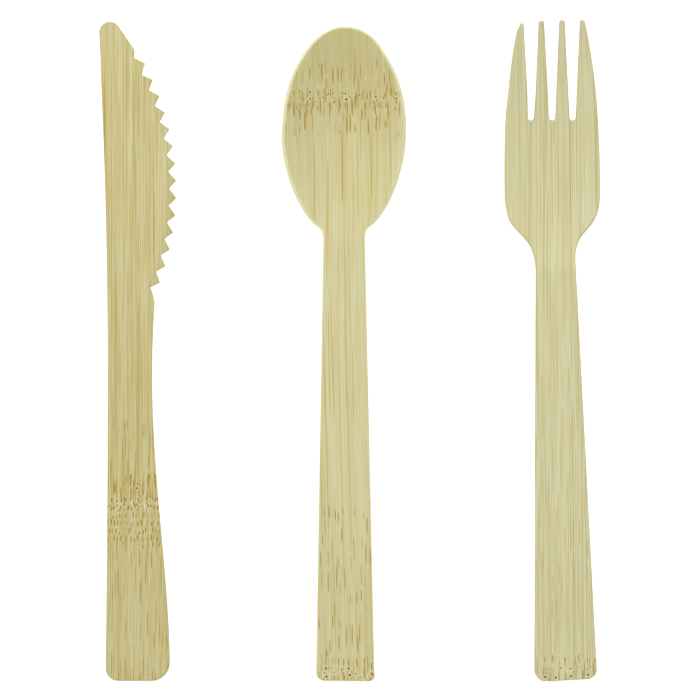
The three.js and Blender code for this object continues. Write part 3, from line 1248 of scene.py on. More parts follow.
    def tine_row(self, heights: list[float], inset: float) -> list[Point]:
        """Lays a row across the tines.

        Args:
            heights: The height of the row on each tine.
            inset: How far each tine is drawn in on both sides.

        Returns:
            The row's points, from left to right.
        """
        lines: list[float] = []
        for tine, y in enumerate(heights):
            edges = self.head_lines(y)
            outer = inset if tine else self.first_inset(y)
            inner = inset if tine else inset / 2
            lines += [edges[2 * tine] + outer, edges[2 * tine + 1] - inner]
        return self.lay_row(lines, heights)

    def grid(self) -> tuple[list[list[Point]], list[list[bool]]]:
        """Lays the fork's grid, with its slots left open.

        Returns:
            Its plan points, row by row, and which of its cells are solid.
        """
        xs, ys = zip(*self.half_points())
        below = [self.slot_bottom - step for step in END_STEPS]
        rows = []
        ends = [*corner_heights(self.butt_corner), *below, self.slot_bottom]
        for y in self.heights(self.slot_bottom, ends):
            half = float(np.interp(y, ys, xs)) if y < self.shoulder_y else self.head_half(y)
            rows.append(self.solid_row(y, half))
        solid_rows = len(rows) - 1
        for angle in np.linspace(math.acos(self.slot_start), math.pi / 2, 7)[1:-1]:
            y = self.slot_round - self.slot_root / 2 * math.cos(angle)
            rows.append(self.tine_row([y] * 4, 0.0))
        tips = [self.length - shortfall for shortfall in self.shortfalls]
        for share in np.linspace(0, 1, self.tine_rows + 1):
            along = [mix(self.slot_round, tip - self.tip_corner, share) for tip in tips]
            rows.append(self.tine_row(along, 0.0))
        for angle in np.linspace(0, math.pi / 2, 7)[1:]:
            rise = self.tip_corner * (1 - math.sin(angle))
            inset = self.tip_corner * (1 - math.cos(angle))
            rows.append(self.tine_row([tip - rise for tip in tips], inset))
        columns = range(len(rows[0]) - 1)
        tine = 2 * len(EDGE_SHARES) - 2 + self.tine_cells
        filled = [column % (tine + self.slot_cells) < tine for column in columns]
        return rows, [[row < solid_rows or filled[column] for column in columns] for row in range(len(rows))]

    def as_cut(self, x: float, y: float) -> Point:
        """Moves a point of the even outline out to the cut, fuller on the left and with leaning tines.

        Args:
            x: The point's place across the blank.
            y: Its place along it.

        Returns:
            Where the cut has it.
        """
        above = y - self.handle_length
        fullness = mix(self.start_share, 1.0, ease(*self.left_start, y))
        fullness *= 1 - ease(*self.left_end, y - self.slot_bottom)
        hip = ease(*self.hip_start, above) * (1 - ease(*self.hip_end, above))
        corner = self.corner_inset * (1 - ease(0, self.corner_reach, y))
        outward = self.left_fullness * fullness + self.hip_fullness * hip - corner
        lean = self.tine_lean * max(y - self.shoulder_y, 0) / (self.length - self.shoulder_y)
        from_left = x - self.middle(0) + self.butt_width / 2
        slant = self.butt_slant * from_left * (1 - ease(0, SLANT_REACH, y))
        return x - outward * ease(0, PULL, self.middle(y) - x) - lean, y + slant

    def height(self, press: Press, x: Wire, y: Wire) -> Wire:
        """Lifts the tines and the neck from the belly of the head, and turns the head's sides up a little.

        Args:
            press: The press.
            x: The place across the blank.
            y: The place along it.

        Returns:
            How high the underside lies.
        """
        tine_rise = press.size("Tine Rise", self.tine_rise)
        neck_rise = press.size("Neck Rise", self.neck_rise)
        lowest = self.handle_length + self.lowest_height
        scale = y.above(lowest).blend(-1 / self.lowest_height, 1 / (self.length - lowest))
        away = (y - lowest) * scale
        rise = y.above(lowest).blend(neck_rise, tine_rise) * away.square()
        dish = (x / (self.head_width / 2)).square() * away.flip().at_least(0.0) * self.head_dish
        handle = raised_handle(press, y, self.handle_length, neck_rise, self.handle_arch)
        return over_neck(y, self.handle_length, handle, rise + dish)


def bezier(points: list[Point], steps: int) -> list[Point]:
    """Gives evenly stepped points along a curve with two or three control arms.

    Args:
        points: The curve's control points.
        steps: How many steps it has.

    Returns:
        The points, from one end to the other.
    """
    order = len(points) - 1
    curve = []
    for share in np.linspace(0, 1, steps + 1):
        weights = [math.comb(order, number) * share ** number * (1 - share) ** (order - number)
                   for number in range(order + 1)]
        x, y = (sum(weight * point[axis] for weight, point in zip(weights, points)) for axis in (0, 1))
        curve.append((x, y))
    return curve


def raised_handle(press: Press, y: Wire, length: float, rise: Wire, arch: float) -> Wire:
    """Lifts a handle's underside from the table at its butt up to its neck.

    Args:
        press: The press.
        y: The place along the blank.
        length: How long the handle is.
        rise: How high its neck lies.
        arch: How far it arches up between its ends.

    Returns:
        How high the underside lies.
    """
    share = (y / length).at_least(0.0)
    bow = (share.at_most(1.0) * math.pi).math("SINE") * press.size("Handle Arch", arch)
    return rise * share + bow


def over_neck(y: Wire, length: float, handle: Wire, head: Wire) -> Wire:
    """Goes smoothly over from the handle's height to the head's, across the neck."""
    return y.ease(length - NECK_BLEND[0], length + NECK_BLEND[1]).blend(handle, head)


# The finish: bamboo fibres, growth rings, cut edges, and painted shade along the pieces and at their edges


@dataclass(frozen=True)
class GrainLayer:
    """A layer of dark marks along the fibres, between two heights up a blank. Sizes are in millimetres.

    Args:
        strength: How dark the layer is.
        low: Where up the blank the layer begins.
        high: Where it ends.
        fade: How unevenly it begins and ends.
    """

    strength: float
    low: float = -20.0
    high: float = 200.0
    fade: float = 3.0

    raggedness = 2.5
    softness = 0.3

    def shown(self, y: Wire, ragged: Wire) -> Wire:
        """Gives where the layer shows, with ends that differ from fibre to fibre.

        Args:
            y: The place along the fibres.
            ragged: A number that differs from fibre to fibre.

        Returns:
            How much of it shows, from 0 to 1.
        """
        uneven = y + (ragged - 0.5) * (self.fade * self.raggedness)
        soft = self.fade * self.softness
        start = uneven.ease(self.low - soft, self.low)
        return start * uneven.ease(self.high, self.high + soft).flip()

    def group(self) -> tuple[bpy.types.NodeTree, dict[str, float]]:
        """Gives the shader group that draws the layer, and what it needs."""
        raise NotImplementedError

    def mask(self, tree: bpy.types.NodeTree, seed: float, across: Wire, y: Wire, ragged: Wire) -> Wire:
        """Draws the layer.

        Args:
            tree: The material's tree.
            seed: What sets the layer apart from the others.
            across: The place across the fibres.
            y: The place along them.
            ragged: A number that differs from fibre to fibre.

        Returns:
            How dark the layer is at this place.
        """
        group, sizes = self.group()
        node = add_node(tree, "ShaderNodeGroup", {}, node_tree=group)
        for name, value in {"Across": across, "Along": y, "Seed": seed, **sizes}.items():
            plug(tree, node.inputs[name], value)
        return Wire(tree, node.outputs[0]) * self.shown(y, ragged) * self.strength


@dataclass(frozen=True)
class StrandLayer(GrainLayer):
    """Long thin strands, broken here and there.

    Args:
        pitch: How far apart the strands lie, on average.
        half_width: Half the width of a middling strand.
        length: How long an unbroken piece of a strand is, roughly.
        cover: The share of its length over which a strand shows.
    """

    pitch: float = 1.0
    half_width: float = 0.13
    length: float = 30.0
    cover: float = 0.5

    def group(self) -> tuple[bpy.types.NodeTree, dict[str, float]]:
        """Gives the group that draws strands, and what it needs.

        Returns:
            The group, and its sizes by name.
        """
        sizes = {
            "Pitch": self.pitch, "Half Width": self.half_width,
            "Length": self.length, "Cover": self.cover,
        }
        return GrainGroups.strand(), sizes


@dataclass(frozen=True)
class DashLayer(GrainLayer):
    """Short scattered dashes, the cut ends of fibres.

    Args:
        apart: How far apart the dashes are, across and along.
        half: Half the width and half the length of a middling dash.
        share: The share of places that hold a dash.
        scatter: How unevenly they are spread, from 0 for staggered rows to 1.
    """

    apart: Point = (1.0, 2.5)
    half: Point = (0.16, 0.8)
    share: float = 0.8
    scatter: float = 0.9

    def group(self) -> tuple[bpy.types.NodeTree, dict[str, float]]:
        """Gives the group that draws dashes, and what it needs.

        Returns:
            The group, and its sizes by name.
        """
        sizes = {
            "Cell Width": self.apart[0], "Cell Length": self.apart[1],
            "Half Width": self.half[0], "Half Length": self.half[1],
            "Share": self.share, "Scatter": self.scatter,
        }
        return GrainGroups.dash(), sizes


@dataclass(frozen=True)
class Streak:
    """One strong strand of its own. Sizes are in millimetres.

    Args:
        x: Where it lies across the blank, half way along it.
        low: Where up the blank it begins.
        high: Where it ends.
        half_width: Half its width.
        strength: How dark it is.
    """

    x: float
    low: float
    high: float
    half_width: float = 0.2
    strength: float = 0.7

    end_share = 0.2
    side_shares = (0.4, 1.2)

    def mask(self, across: Wire, y: Wire) -> Wire:
        """Gives how dark the streak is at a place.

        Args:
            across: The place across the fibres.
            y: The place along them.

        Returns:
            The darkness, from 0 to 1.
        """
        length = (self.high - self.low) * self.end_share
        ends = y.ease(self.low, self.low + length) * y.ease(self.high - length, self.high).flip()
        away = (across - self.x).math("ABSOLUTE")
        sides = away.ease(*(self.half_width * share for share in self.side_shares)).flip()
        return sides * ends * self.strength


@dataclass(frozen=True)
class BambooFinish:
    """Pale pressed bamboo. Colours are screen values.

    Args:
        ground: The pale tissue between the fibres.
        shade: The greener tissue of the darker bands.
        streak: The fibres that show as strands.
        core: The middle of the darkest strands.
        stain_and_shade: The browner tissue near the cane's joints, also used as painted shade along the
            pieces.
        pit: The pits of the growth rings.
        knot: The single deep pits.
        rim: The cut edges: their own colour, with painted shade along the knife's and the fork's rounded
            edges and a painted highlight along the spoon's rim.
        rim_and_edge_shade_strength: How strongly the cut edges and their painted shade and highlight show.
        fibre_strength: How clearly the finest fibres show.
        lean: How far the fibres lean, in millimetres across for each one along.
        layers: The strands and dashes.
        streaks: The strongest strands, one by one.
        stain_and_shade_stops: How far the tissue is stained and painted darker, as pairs of a height up the
            blank and a share: browner tissue near the joints mixed with painted shade, darker towards the
            butts and towards the spoon's bowl tip.
        seed: What sets this piece apart from the others.
        halo: The pale tissue around the pits.
        halo_reach: Where around a pit the halo is full and where it ends, in the pit's radii.
        halo_strength: How pale the halo is.
        halo_clearing: How far it clears the strands and dashes away.
        pit_reach: Where a pit's own colour is full and where it ends, in its radii.
        core_reach: How dark a strand is where its core begins to show and where it shows in full.
        core_strength: How clearly the core shows.
        bevel_strength: How clearly the ground bevel shows its fibres.
        ring_reach: How far from a growth ring the fibres are still disturbed, in millimetres.
        seed_step: How far apart the seeds of the layers lie.
        roughness: How rough the tissue is.
        specular: How strongly it shines.
        relief: How strong the finest relief is.
        relief_depth: How deep the finest relief is, in metres.
    """

    ground: Screen
    shade: Screen
    streak: Screen
    core: Screen
    stain_and_shade: Screen
    pit: Screen
    knot: Screen
    rim: Screen
    rim_and_edge_shade_strength: float
    fibre_strength: float
    lean: float
    layers: tuple[GrainLayer, ...]
    streaks: tuple[Streak, ...]
    stain_and_shade_stops: tuple[Point, ...]
    seed: float
    halo: Screen = (220, 214, 172)
    halo_reach: Point = (1.0, 3.2)
    halo_strength: float = 0.35
    halo_clearing: float = 0.7
    pit_reach: Point = (0.55, 1.15)
    core_reach: Point = (0.55, 1.0)
    core_strength: float = 0.7
    bevel_strength: float = 0.15
    ring_reach: float = 9.0
    seed_step: float = 13.7
    roughness: float = 0.62
    specular: float = 0.3
    relief: float = 0.4
    relief_depth: float = 0.00004

    def material(self, blank: Blank, middle: float, butt: float) -> bpy.types.Material:
        """Makes the piece's material.

        Args:
            blank: The blank that the material dresses.
            middle: Where the blank's middle line lies, in metres.
            butt: Where its butt lies, in metres.

        Returns:
            The material.
        """
        material = bpy.data.materials.new(f"{blank.node}_bamboo")
        material.use_nodes = True
        tree = material.node_tree
        shader = tree.nodes["Principled BSDF"]
        place = add_node(tree, "ShaderNodeTexCoord").outputs["Object"]
        local = add_node(tree, "ShaderNodeMapping", {"Vector": place})
        local.inputs["Scale"].default_value = (1 / MM, 1 / MM, 1 / MM)
        local.inputs["Location"].default_value = (-middle / MM, -butt / MM, 0)
        x, y, z = split_xyz(tree, local.outputs[0])

        across, band, fibre, pale, ragged = self.grain(tree, blank, x, y, z)
        small, deep = blank.pit_distances(tree, x, y)
        halo = small.at_most(deep).ease(*self.halo_reach).flip()
        marks = self.marks(tree, across, y, ragged) * (halo * self.halo_clearing).flip()
        edge, bevel = (
            Wire(tree, add_node(tree, "ShaderNodeAttribute", attribute_name=field.value).outputs["Fac"])
            for field in (Field.EDGE, Field.BEVEL)
        )
        coats = (
            (band, self.shade),
            # Browner tissue near the joints mixed with painted shade: darker towards the butts, where the
            # light falls off, and towards the spoon's bowl tip, which turns away from the light
            (self.stain_and_shade_share(y), self.stain_and_shade),
            (halo * self.halo_strength + pale, self.halo),
            (fibre * self.fibre_strength + bevel * self.bevel_strength, self.streak),
            (marks, self.streak),
            (marks.ease(*self.core_reach) * self.core_strength, self.core),
            # The cut edges' own colour mixed with painted edge shade on the knife and the fork and a painted
            # highlight on the spoon's rim
            (edge * self.rim_and_edge_shade_strength, self.rim),
            (small.ease(*self.pit_reach).flip(), self.pit),
            (deep.ease(*self.pit_reach).flip(), self.knot),
        )
        colour = linear(*self.ground)
        for share, coat in coats:
            colour = blend_colours(tree, share, colour, linear(*coat))
        plug(tree, shader.inputs["Base Color"], colour)

        plug(tree, shader.inputs["Roughness"], (marks * -0.08) + self.roughness)
        shader.inputs["Specular IOR Level"].default_value = self.specular
        bump = add_node(tree, "ShaderNodeBump", {"Height": (fibre * 0.4) + band * 0.2 - marks})
        bump.inputs["Strength"].default_value = self.relief
        bump.inputs["Distance"].default_value = self.relief_depth
        plug(tree, shader.inputs["Normal"], bump.outputs[0])
        return material

    def grain(self, tree: bpy.types.NodeTree, blank: Blank, x: Wire, y: Wire, z: Wire) -> list[Wire]:
        """Adds the grain, whose fibres bow out around the deep pits.

        Args:
            tree: The material's tree.
            blank: The blank that the material dresses.
            x: The place across the blank.
            y: The place along it.
            z: The height above the table.

        Returns:
            The grain group's outputs, in their order.
        """
        near = x * 0.0
        for ring in blank.rings:
            near = near.at_least(ring.nearness(y, self.ring_reach))
        aside = x
        for pit in blank.pits:
            aside = aside + pit.sway(x, y)
        group = add_node(tree, "ShaderNodeGroup", {}, node_tree=GrainGroups.grain())
        values = {"X": aside, "Y": y, "Z": z, "Lean": self.lean, "Seed": self.seed, "Ring": near}
        for name, value in values.items():
            plug(tree, group.inputs[name], value)
        return [Wire(tree, group.outputs[name]) for name in GrainGroups.GRAIN_OUTPUTS]

    def marks(self, tree: bpy.types.NodeTree, across: Wire, y: Wire, ragged: Wire) -> Wire:
        """Draws the strands and dashes of every layer, and the single streaks.

        Args:
            tree: The material's tree.
            across: The place across the fibres.
            y: The place along them.
            ragged: A number that differs from fibre to fibre.

        Returns:
            How dark they are at this place.
        """
        marks = across * 0.0
        for number, layer in enumerate(self.layers):
            seed = self.seed + self.seed_step * number
            marks = marks.at_least(layer.mask(tree, seed, across, y, ragged))
        for streak in self.streaks:
            marks = marks.at_least(streak.mask(across, y))
        return marks

    def stain_and_shade_share(self, y: Wire) -> Wire:
        """Gives the share of browner tissue and painted shade, which darkens the pieces towards their butts
        and the spoon's bowl towards its tip.

        Args:
            y: The place along the blank.

        Returns:
            The share of the stain and painted shade colour there.
        """
        share = y * 0.0 + self.stain_and_shade_stops[0][1]
        for (low, _), (high, value) in zip(self.stain_and_shade_stops, self.stain_and_shade_stops[1:]):
            share = y.ease(low, high).blend(share, value)
        return share


def blend_colours(
    tree: bpy.types.NodeTree, share: Wire, first: object, second: object
) -> bpy.types.NodeSocket:
    """Mixes two colours, each a socket or three linear values.

    Args:
        tree: The tree.
        share: How much of the second colour there is.
        first: The colour at 0.
        second: The colour at 1.

    Returns:
        The mixed colour.
    """
    node = add_node(tree, "ShaderNodeMix", data_type="RGBA")
    plug(tree, node.inputs[0], share)
    for slot, colour in ((6, first), (7, second)):
        plug(tree, node.inputs[slot], (*colour, 1.0) if isinstance(colour, tuple) else colour)
    return node.outputs[2]


class GrainGroups:
    """The shader groups that every bamboo piece shares, each built once."""

    GRAIN_OUTPUTS = ("Across", "Band", "Fibre", "Pale", "Ragged")
    built: dict[str, bpy.types.NodeTree] = {}

    @classmethod
    def start(
        cls, name: str, inputs: tuple[str, ...], outputs: tuple[str, ...]
    ) -> tuple[bpy.types.NodeTree, dict[str, Wire], bpy.types.Node]:
        """Starts a group with named number sockets.

        Args:
            name: The group's name.
            inputs: The names of its inputs.
            outputs: The names of its outputs.

        Returns:
            The group, its inputs as wires, and its output node.
        """
        tree = bpy.data.node_groups.new(name, "ShaderNodeTree")
        for socket in inputs:
            tree.interface.new_socket(socket, in_out="INPUT", socket_type="NodeSocketFloat")
        for socket in outputs:
            tree.interface.new_socket(socket, in_out="OUTPUT", socket_type="NodeSocketFloat")
        entry = tree.nodes.new("NodeGroupInput")
        cls.built[name] = tree
        wires = {socket: Wire(tree, entry.outputs[socket]) for socket in inputs}
        return tree, wires, tree.nodes.new("NodeGroupOutput")

    @classmethod
    def strand(cls) -> bpy.types.NodeTree:
        """Draws thin strands side by side, each broken into tapered pieces of uneven length.

        Returns:
            The group.
        """
        if "fibre_strand" in cls.built:
            return cls.built["fibre_strand"]
        inputs = ("Across", "Along", "Seed", "Pitch", "Half Width", "Length", "Cover")
        tree, wires, exit_node = cls.start("fibre_strand", inputs, ("Mask",))
        u = wires["Across"] / wires["Pitch"] + wires["Seed"]
        lines = add_node(tree, "ShaderNodeTexVoronoi", {"W": u, "Scale": 1.0}, voronoi_dimensions="1D")
        centre = Wire(tree, lines.outputs["W"])
        first, second, third = split_colour(tree, lines.outputs["Color"])
        run = wires["Along"] / wires["Length"] + second * 50.0
        shown = noise(tree, join_xyz(tree, centre * 9.0, run, wires["Seed"]), 0.0)
        limit = (wires["Cover"] * -0.5) + 0.75
        taper = (shown - limit) / 0.09
        width = wires["Half Width"] * (first * 0.9 + 0.6) * taper.at_least(0.001).at_most(1.0)
        away = (u - centre).math("ABSOLUTE") * wires["Pitch"] / width
        mask = away.ease(0.45, 1.15).flip() * taper.ease(0.0, 0.6) * (third * 0.5 + 0.5)
        tree.links.new(mask.socket, exit_node.inputs[0])
        return tree

    @classmethod
    def dash(cls) -> bpy.types.NodeTree:
        """Scatters tapered dashes along the fibres, one to a cell of a stretched cell pattern.

        Returns:
            The group.
        """
        if "fibre_dash" in cls.built:
            return cls.built["fibre_dash"]
        inputs = (
            "Across", "Along", "Seed", "Cell Width", "Cell Length",
            "Half Width", "Half Length", "Share", "Scatter",
        )
        tree, wires, exit_node = cls.start("fibre_dash", inputs, ("Mask",))
        v = wires["Along"] / wires["Cell Length"]
        u = wires["Across"] / wires["Cell Width"] + wires["Seed"] + v * 0.5
        places = {"Vector": join_xyz(tree, u, v, 0.0), "Scale": 1.0, "Randomness": wires["Scatter"]}
        cells = add_node(tree, "ShaderNodeTexVoronoi", places, voronoi_dimensions="2D")
        centre_u, centre_v, _ = split_xyz(tree, cells.outputs["Position"])
        first, second, third = split_colour(tree, cells.outputs["Color"])
        rise = v - centre_v
        dy = rise * wires["Cell Length"]
        length = wires["Half Length"] * (second * 0.9 + 0.55)
        tilt = dy / length * (second - 0.4) * 0.12
        dx = (u - centre_u - rise * 0.5) * wires["Cell Width"] - tilt
        width = wires["Half Width"] * (first * 0.7 + 0.65)
        away = (dx / width).square() + (dy / length).square()
        held = (third * -1.0 + wires["Share"]).above(0.0)
        tone = (first * 0.5 + 0.65).at_most(1.0)
        tree.links.new((away.ease(0.35, 1.15).flip() * held * tone).socket, exit_node.inputs[0])
        return tree

    @classmethod
    def grain(cls) -> bpy.types.NodeTree:
        """Bends the fibres a little, and gives their bands, fine lines and pale flecks.

        Returns:
            The group.
        """
        if "bamboo_grain" in cls.built:
            return cls.built["bamboo_grain"]
        inputs = ("X", "Y", "Z", "Lean", "Seed", "Ring")
        tree, wires, exit_node = cls.start("bamboo_grain", inputs, cls.GRAIN_OUTPUTS)
        x, y, z, seed = (wires[name] for name in ("X", "Y", "Z", "Seed"))
        bend = noise(tree, join_xyz(tree, x * 0.08, y * 0.02, seed), 1.0) - 0.5
        wander = noise(tree, join_xyz(tree, x * 0.5, y * 0.3, seed + 3.0), 1.0) - 0.5
        across = x + z * 0.08 - y * wires["Lean"] + bend * 0.45 + wander * wires["Ring"] * 0.8
        slow = y * 0.01
        broad = noise(tree, join_xyz(tree, across * 0.2, slow, seed + 7.0), 1.0)
        bands = noise(tree, join_xyz(tree, across * 0.9, slow * 1.3, seed + 11.0), 2.0, 0.6)
        fine = noise(tree, join_xyz(tree, across * 2.6, slow * 3.0, seed + 17.0), 1.5, 0.6)
        short = noise(tree, join_xyz(tree, across * 2.2, y * 0.35, seed + 23.0), 1.0)
        band = broad.ease(0.35, 0.65) * 0.35 + bands.ease(0.32, 0.68) * 0.65
        ragged = noise(tree, join_xyz(tree, across * 1.1, 0.5, seed + 29.0), 1.0)
        lines = noise(tree, join_xyz(tree, across * 3.0, slow * 4.0, seed + 37.0), 1.0)
        pale = short.ease(0.52, 0.72) * (wires["Ring"] * 0.4 + 0.1) + lines.ease(0.5, 0.68) * 0.3
        for number, value in enumerate((across, band, fine.ease(0.45, 0.65), pale, ragged)):
            tree.links.new(value.socket, exit_node.inputs[number])
        return tree


# The room: table, light and camera


@dataclass(frozen=True)
class Lamp:
    """A soft square lamp that faces the set.

    Args:
        name: Its name.
        place: Where it hangs, in metres.
        size: How wide it is, in metres.
        power: How strong it is, in watts.
    """

    name: str
    place: tuple[float, float, float]
    size: float
    power: float

    def hang(self) -> None:
        """Hangs the lamp."""
        data = bpy.data.lights.new(self.name, "AREA")
        data.size = self.size
        data.energy = self.power
        lamp = bpy.data.objects.new(self.name, data)
        lamp.location = self.place
        lamp.rotation_euler = (-Vector(self.place)).to_track_quat("-Z", "Y").to_euler()
        bpy.context.scene.collection.objects.link(lamp)


@dataclass(frozen=True)
class Studio:
    """A white table under soft light, seen from straight above. Sizes are in metres."""

    table_size: float = 4.0
    table_drop: float = 0.0001
    table_tone: float = 0.8
    table_roughness: float = 0.9
    table_glow: float = 0.55
    sky: float = 0.56
    lamps: tuple[Lamp, ...] = (
        Lamp("head_light", (0.05, 0.75, 1.25), 1.4, 12.5),
        Lamp("side_light", (-0.9, -0.1, 1.1), 1.4, 4.0),
    )
    camera_height: float = 2.4
    camera_shift: Point = (0.00005, 0.0002)
    view_width: float = 0.1806
    sensor: float = 36.0
    sight: float = 100.0

    def lay_table(self) -> bpy.types.Object:
        """Lays the white table that the set lies on.

        Returns:
            The table.
        """
        half = self.table_size / 2
        mesh = bpy.data.meshes.new("table")
        corners = [(x * half, y * half, -self.table_drop) for x, y in ((-1, -1), (1, -1), (1, 1), (-1, 1))]
        mesh.from_pydata(corners, [], [(0, 1, 2, 3)])
        table = bpy.data.objects.new("table", mesh)
        bpy.context.scene.collection.objects.link(table)
        material = bpy.data.materials.new("white_table")
        material.use_nodes = True
        shader = material.node_tree.nodes["Principled BSDF"]
        shader.inputs["Base Color"].default_value = (*(self.table_tone,) * 3, 1)
        shader.inputs["Roughness"].default_value = self.table_roughness
        shader.inputs["Specular IOR Level"].default_value = 0.0
        shader.inputs["Emission Color"].default_value = (1, 1, 1, 1)
        shader.inputs["Emission Strength"].default_value = self.table_glow
        mesh.materials.append(material)
        return table

    def light(self) -> None:
        """Lights the set from all round, and more strongly from beyond its heads."""
        world = bpy.data.worlds.new("studio")
        world.use_nodes = True
        background = world.node_tree.nodes["Background"]
        background.inputs["Color"].default_value = (1, 1, 1, 1)
        background.inputs["Strength"].default_value = self.sky
        bpy.context.scene.world = world
        for lamp in self.lamps:
            lamp.hang()

    def add_camera(self) -> None:
        """Puts the camera straight above the set, with the heads at the top of the picture."""
        data = bpy.data.cameras.new("camera")
        data.sensor_width = self.sensor
        data.lens = self.sensor * self.camera_height / self.view_width
        data.clip_end = self.sight
        camera = bpy.data.objects.new("camera", data)
        camera.location = (*self.camera_shift, self.camera_height)
        bpy.context.scene.collection.objects.link(camera)
        bpy.context.scene.camera = camera


# The three pieces

KNIFE = KnifeBlank(
    rings=(GrowthRing(45.7, 1.3, 0.86, 0.19, 1.0, 3.3, stretch=2.7),),
    pits=(Pit(1.65, 49.65, 0.34, bow=0.5),),
)
SPOON = SpoonBlank(
    rings=(GrowthRing(150.2, 1.8, 1.15, 0.17, 0.3, 5.1), GrowthRing(1.9, 1.7, 1.3, 0.18, 0.35, 8.4)),
    pits=(
        Pit(0.3, 151.4, 0.26), Pit(0.5, 149.9, 0.36), Pit(8.1, 150.6, 0.28), Pit(13.4, 149.9, 0.27),
        Pit(7.8, 148.9, 0.24), Pit(3.95, 151.0, 0.26), Pit(-4.6, 151.1, 0.25), Pit(-8.95, 151.8, 0.28),
        Pit(-8.8, 150.0, 0.28), Pit(-4.7, 3.1, 0.28), Pit(-4.6, 1.15, 0.34), Pit(1.1, 3.2, 0.32),
        Pit(1.4, 1.5, 0.36), Pit(2.9, 1.9, 0.24), Pit(7.3, 1.55, 0.28), Pit(-0.7, 2.9, 0.24),
    ),
)
FORK = ForkBlank(
    rings=(GrowthRing(3.2, 1.3, 1.6, 0.16, 0.3, 12.6),),
    pits=(
        Pit(-1.95, 0.95, 0.34), Pit(0.85, 0.85, 0.32), Pit(4.7, 1.2, 0.34), Pit(9.05, 1.55, 0.32),
        Pit(4.45, 3.1, 0.24), Pit(8.9, 3.1, 0.2), Pit(9.6, 3.6, 0.18),
    ),
)

KNIFE_FINISH = BambooFinish(
    ground=(207, 202, 158), shade=(197, 189, 138), streak=(180, 156, 60), core=(146, 124, 44),
    stain_and_shade=(152, 135, 58), pit=(150, 128, 58), knot=(104, 82, 38), rim=(172, 158, 90), rim_and_edge_shade_strength=0.6,
    fibre_strength=0.42, lean=0.0, seed=1.0,
    layers=(
        StrandLayer(0.8, 44.0, pitch=0.85, half_width=0.1, length=26.0, cover=0.55),
        StrandLayer(0.6, 40.0, pitch=0.55, half_width=0.08, length=16.0, cover=0.5),
        StrandLayer(0.6, pitch=2.3, half_width=0.14, length=45.0, cover=0.5),
        DashLayer(0.85, -5.0, 38.0, 6.0, apart=(0.8, 10.0), half=(0.13, 4.8), share=0.85),
        DashLayer(1.0, 35.0, 45.2, 1.6, apart=(0.86, 2.0), half=(0.18, 0.9), share=1.0, scatter=0.6),
        DashLayer(1.0, 46.6, 53.0, 2.2, apart=(0.9, 5.5), half=(0.21, 3.4), share=0.95, scatter=0.8),
        DashLayer(0.85, 50.0, 67.0, 4.0, apart=(0.9, 7.0), half=(0.14, 3.6), share=0.85),
    ),
    streaks=(
        Streak(-6.45, 70.0, 168.0, 0.18, 0.85), Streak(-4.65, 55.0, 150.0, 0.1, 0.85),
        Streak(-3.55, 50.0, 112.0, 0.1, 0.85), Streak(-4.2, 40.0, 78.0, 0.09, 0.75),
        Streak(-3.0, 40.0, 86.0, 0.09, 0.7), Streak(-0.4, 70.0, 112.0, 0.09, 0.7),
        Streak(0.5, 80.0, 118.0, 0.09, 0.75), Streak(2.0, 48.0, 104.0, 0.1, 0.9),
        Streak(3.4, 46.0, 98.0, 0.09, 0.75), Streak(4.7, 58.0, 104.0, 0.09, 0.75),
        Streak(-0.9, 108.0, 172.0, 0.1, 0.8), Streak(1.15, 104.0, 165.0, 0.1, 0.75),
        Streak(4.3, 102.0, 150.0, 0.1, 0.75), Streak(6.2, 104.0, 140.0, 0.12, 0.8),
    ),
    # Painted shade mixed with browner tissue near the ring: darker towards the butt
    stain_and_shade_stops=((30.0, 0.2), (60.0, 0.15), (140.0, 0.03)),
)
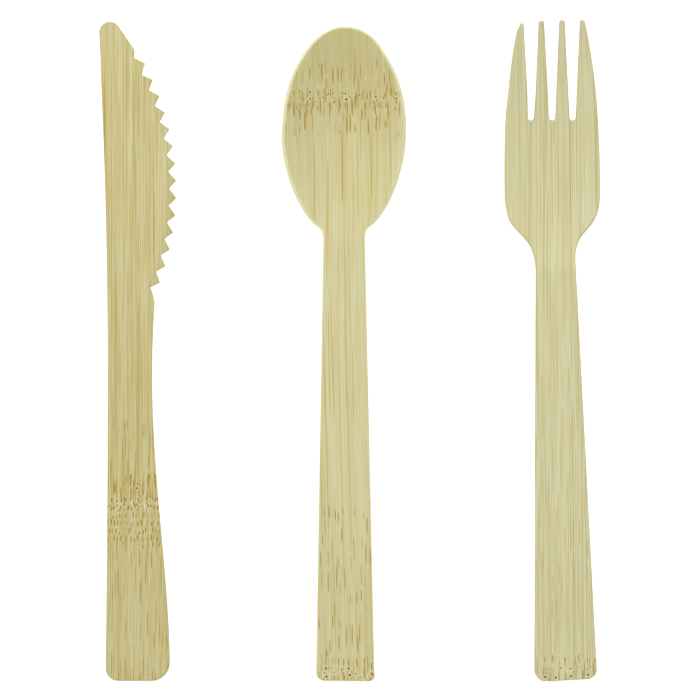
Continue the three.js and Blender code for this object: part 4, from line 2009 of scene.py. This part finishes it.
SPOON_FINISH = BambooFinish(
    ground=(212, 208, 165), shade=(203, 195, 146), streak=(184, 159, 64), core=(156, 127, 38),
    stain_and_shade=(155, 138, 44), pit=(126, 108, 54), knot=(110, 90, 46), rim=(228, 225, 180), rim_and_edge_shade_strength=0.7,
    fibre_strength=0.25, lean=-0.018, seed=5.0,
    layers=(
        StrandLayer(0.55, -20.0, 143.0, 4.0, pitch=1.0, half_width=0.08, length=30.0, cover=0.5),
        StrandLayer(0.9, 98.0, 142.0, 7.0, pitch=1.9, half_width=0.08, length=22.0, cover=0.45),
        DashLayer(1.0, 150.5, 158.0, 3.0, apart=(1.35, 4.8), half=(0.16, 2.4), share=0.8),
        DashLayer(0.75, 156.0, 171.0, 4.0, apart=(2.4, 11.0), half=(0.11, 5.0), share=0.7),
        DashLayer(1.0, 147.6, 152.0, 1.2, apart=(1.0, 3.0), half=(0.18, 1.5), share=0.85),
        DashLayer(1.0, 141.5, 149.5, 3.0, apart=(1.15, 5.0), half=(0.18, 2.6), share=0.8),
        StrandLayer(0.75, -5.0, 108.0, 6.0, pitch=2.0, half_width=0.11, length=34.0, cover=0.5),
        DashLayer(0.95, 3.0, 44.0, 8.0, apart=(1.15, 7.0), half=(0.13, 2.7), share=0.65),
        DashLayer(1.0, -1.0, 5.5, 1.0, apart=(1.1, 3.2), half=(0.19, 1.6), share=0.8),
    ),
    streaks=(
        Streak(1.98, 121.0, 143.0, 0.09, 1.0), Streak(9.6, 122.0, 143.0, 0.09, 0.95),
        Streak(14.7, 126.0, 141.0, 0.08, 0.8), Streak(6.0, 116.0, 142.0, 0.08, 0.85),
        Streak(-1.9, 66.0, 100.0, 0.09, 0.9), Streak(2.4, 68.0, 98.0, 0.09, 0.8),
        Streak(4.2, 64.0, 88.0, 0.09, 0.8),
    ),
    # Browner tissue near the rings mixed with painted shade: darker towards the butt and towards the bowl's
    # tip
    stain_and_shade_stops=(
        (20.0, 0.16), (70.0, 0.05), (105.0, 0.0), (118.0, 0.07), (135.0, 0.14), (152.0, 0.3), (160.0, 0.36),
    ),
)
FORK_FINISH = BambooFinish(
    ground=(209, 206, 166), shade=(201, 196, 156), streak=(182, 163, 90), core=(154, 134, 68),
    stain_and_shade=(162, 150, 90), pit=(128, 110, 64), knot=(104, 84, 50), rim=(186, 176, 116), rim_and_edge_shade_strength=0.6,
    fibre_strength=0.34, lean=-0.008, seed=9.0,
    layers=(
        StrandLayer(0.75, pitch=0.85, half_width=0.1, length=40.0, cover=0.55),
        StrandLayer(0.65, pitch=2.3, half_width=0.15, length=60.0, cover=0.5),
        DashLayer(0.7, 4.0, 40.0, 8.0, apart=(1.3, 8.0), half=(0.12, 3.6), share=0.65),
        DashLayer(0.6, 38.0, 104.0, 8.0, apart=(1.0, 15.0), half=(0.11, 6.5), share=0.7),
        DashLayer(0.95, -1.0, 6.0, 1.0, apart=(1.0, 4.6), half=(0.18, 2.6), share=0.95),
    ),
    streaks=(
        Streak(1.0, 112.0, 148.0, 0.16, 0.65), Streak(2.7, 116.0, 150.0, 0.16, 0.65),
        Streak(5.8, 112.0, 150.0, 0.15, 0.85), Streak(12.5, 118.0, 150.0, 0.26, 0.7),
        Streak(-1.1, 114.0, 148.0, 0.16, 0.6), Streak(-4.9, 108.0, 142.0, 0.16, 0.5),
    ),
    stain_and_shade_stops=((20.0, 0.04), (90.0, 0.01), (120.0, 0.04)),
)


def main() -> None:
    """Builds the studio and the three pieces."""
    logging.basicConfig(level=logging.INFO, format="%(message)s")
    bpy.context.scene.view_settings.view_transform = "Standard"
    studio = Studio()
    studio.add_camera()
    studio.lay_table()
    studio.light()
    for blank, finish in ((KNIFE, KNIFE_FINISH), (SPOON, SPOON_FINISH), (FORK, FORK_FINISH)):
        piece = blank.build(finish)
        LOG.info("%s: %d points, %d faces", piece.name, len(piece.data.vertices), len(piece.data.polygons))


if __name__ == "__main__":
    main()
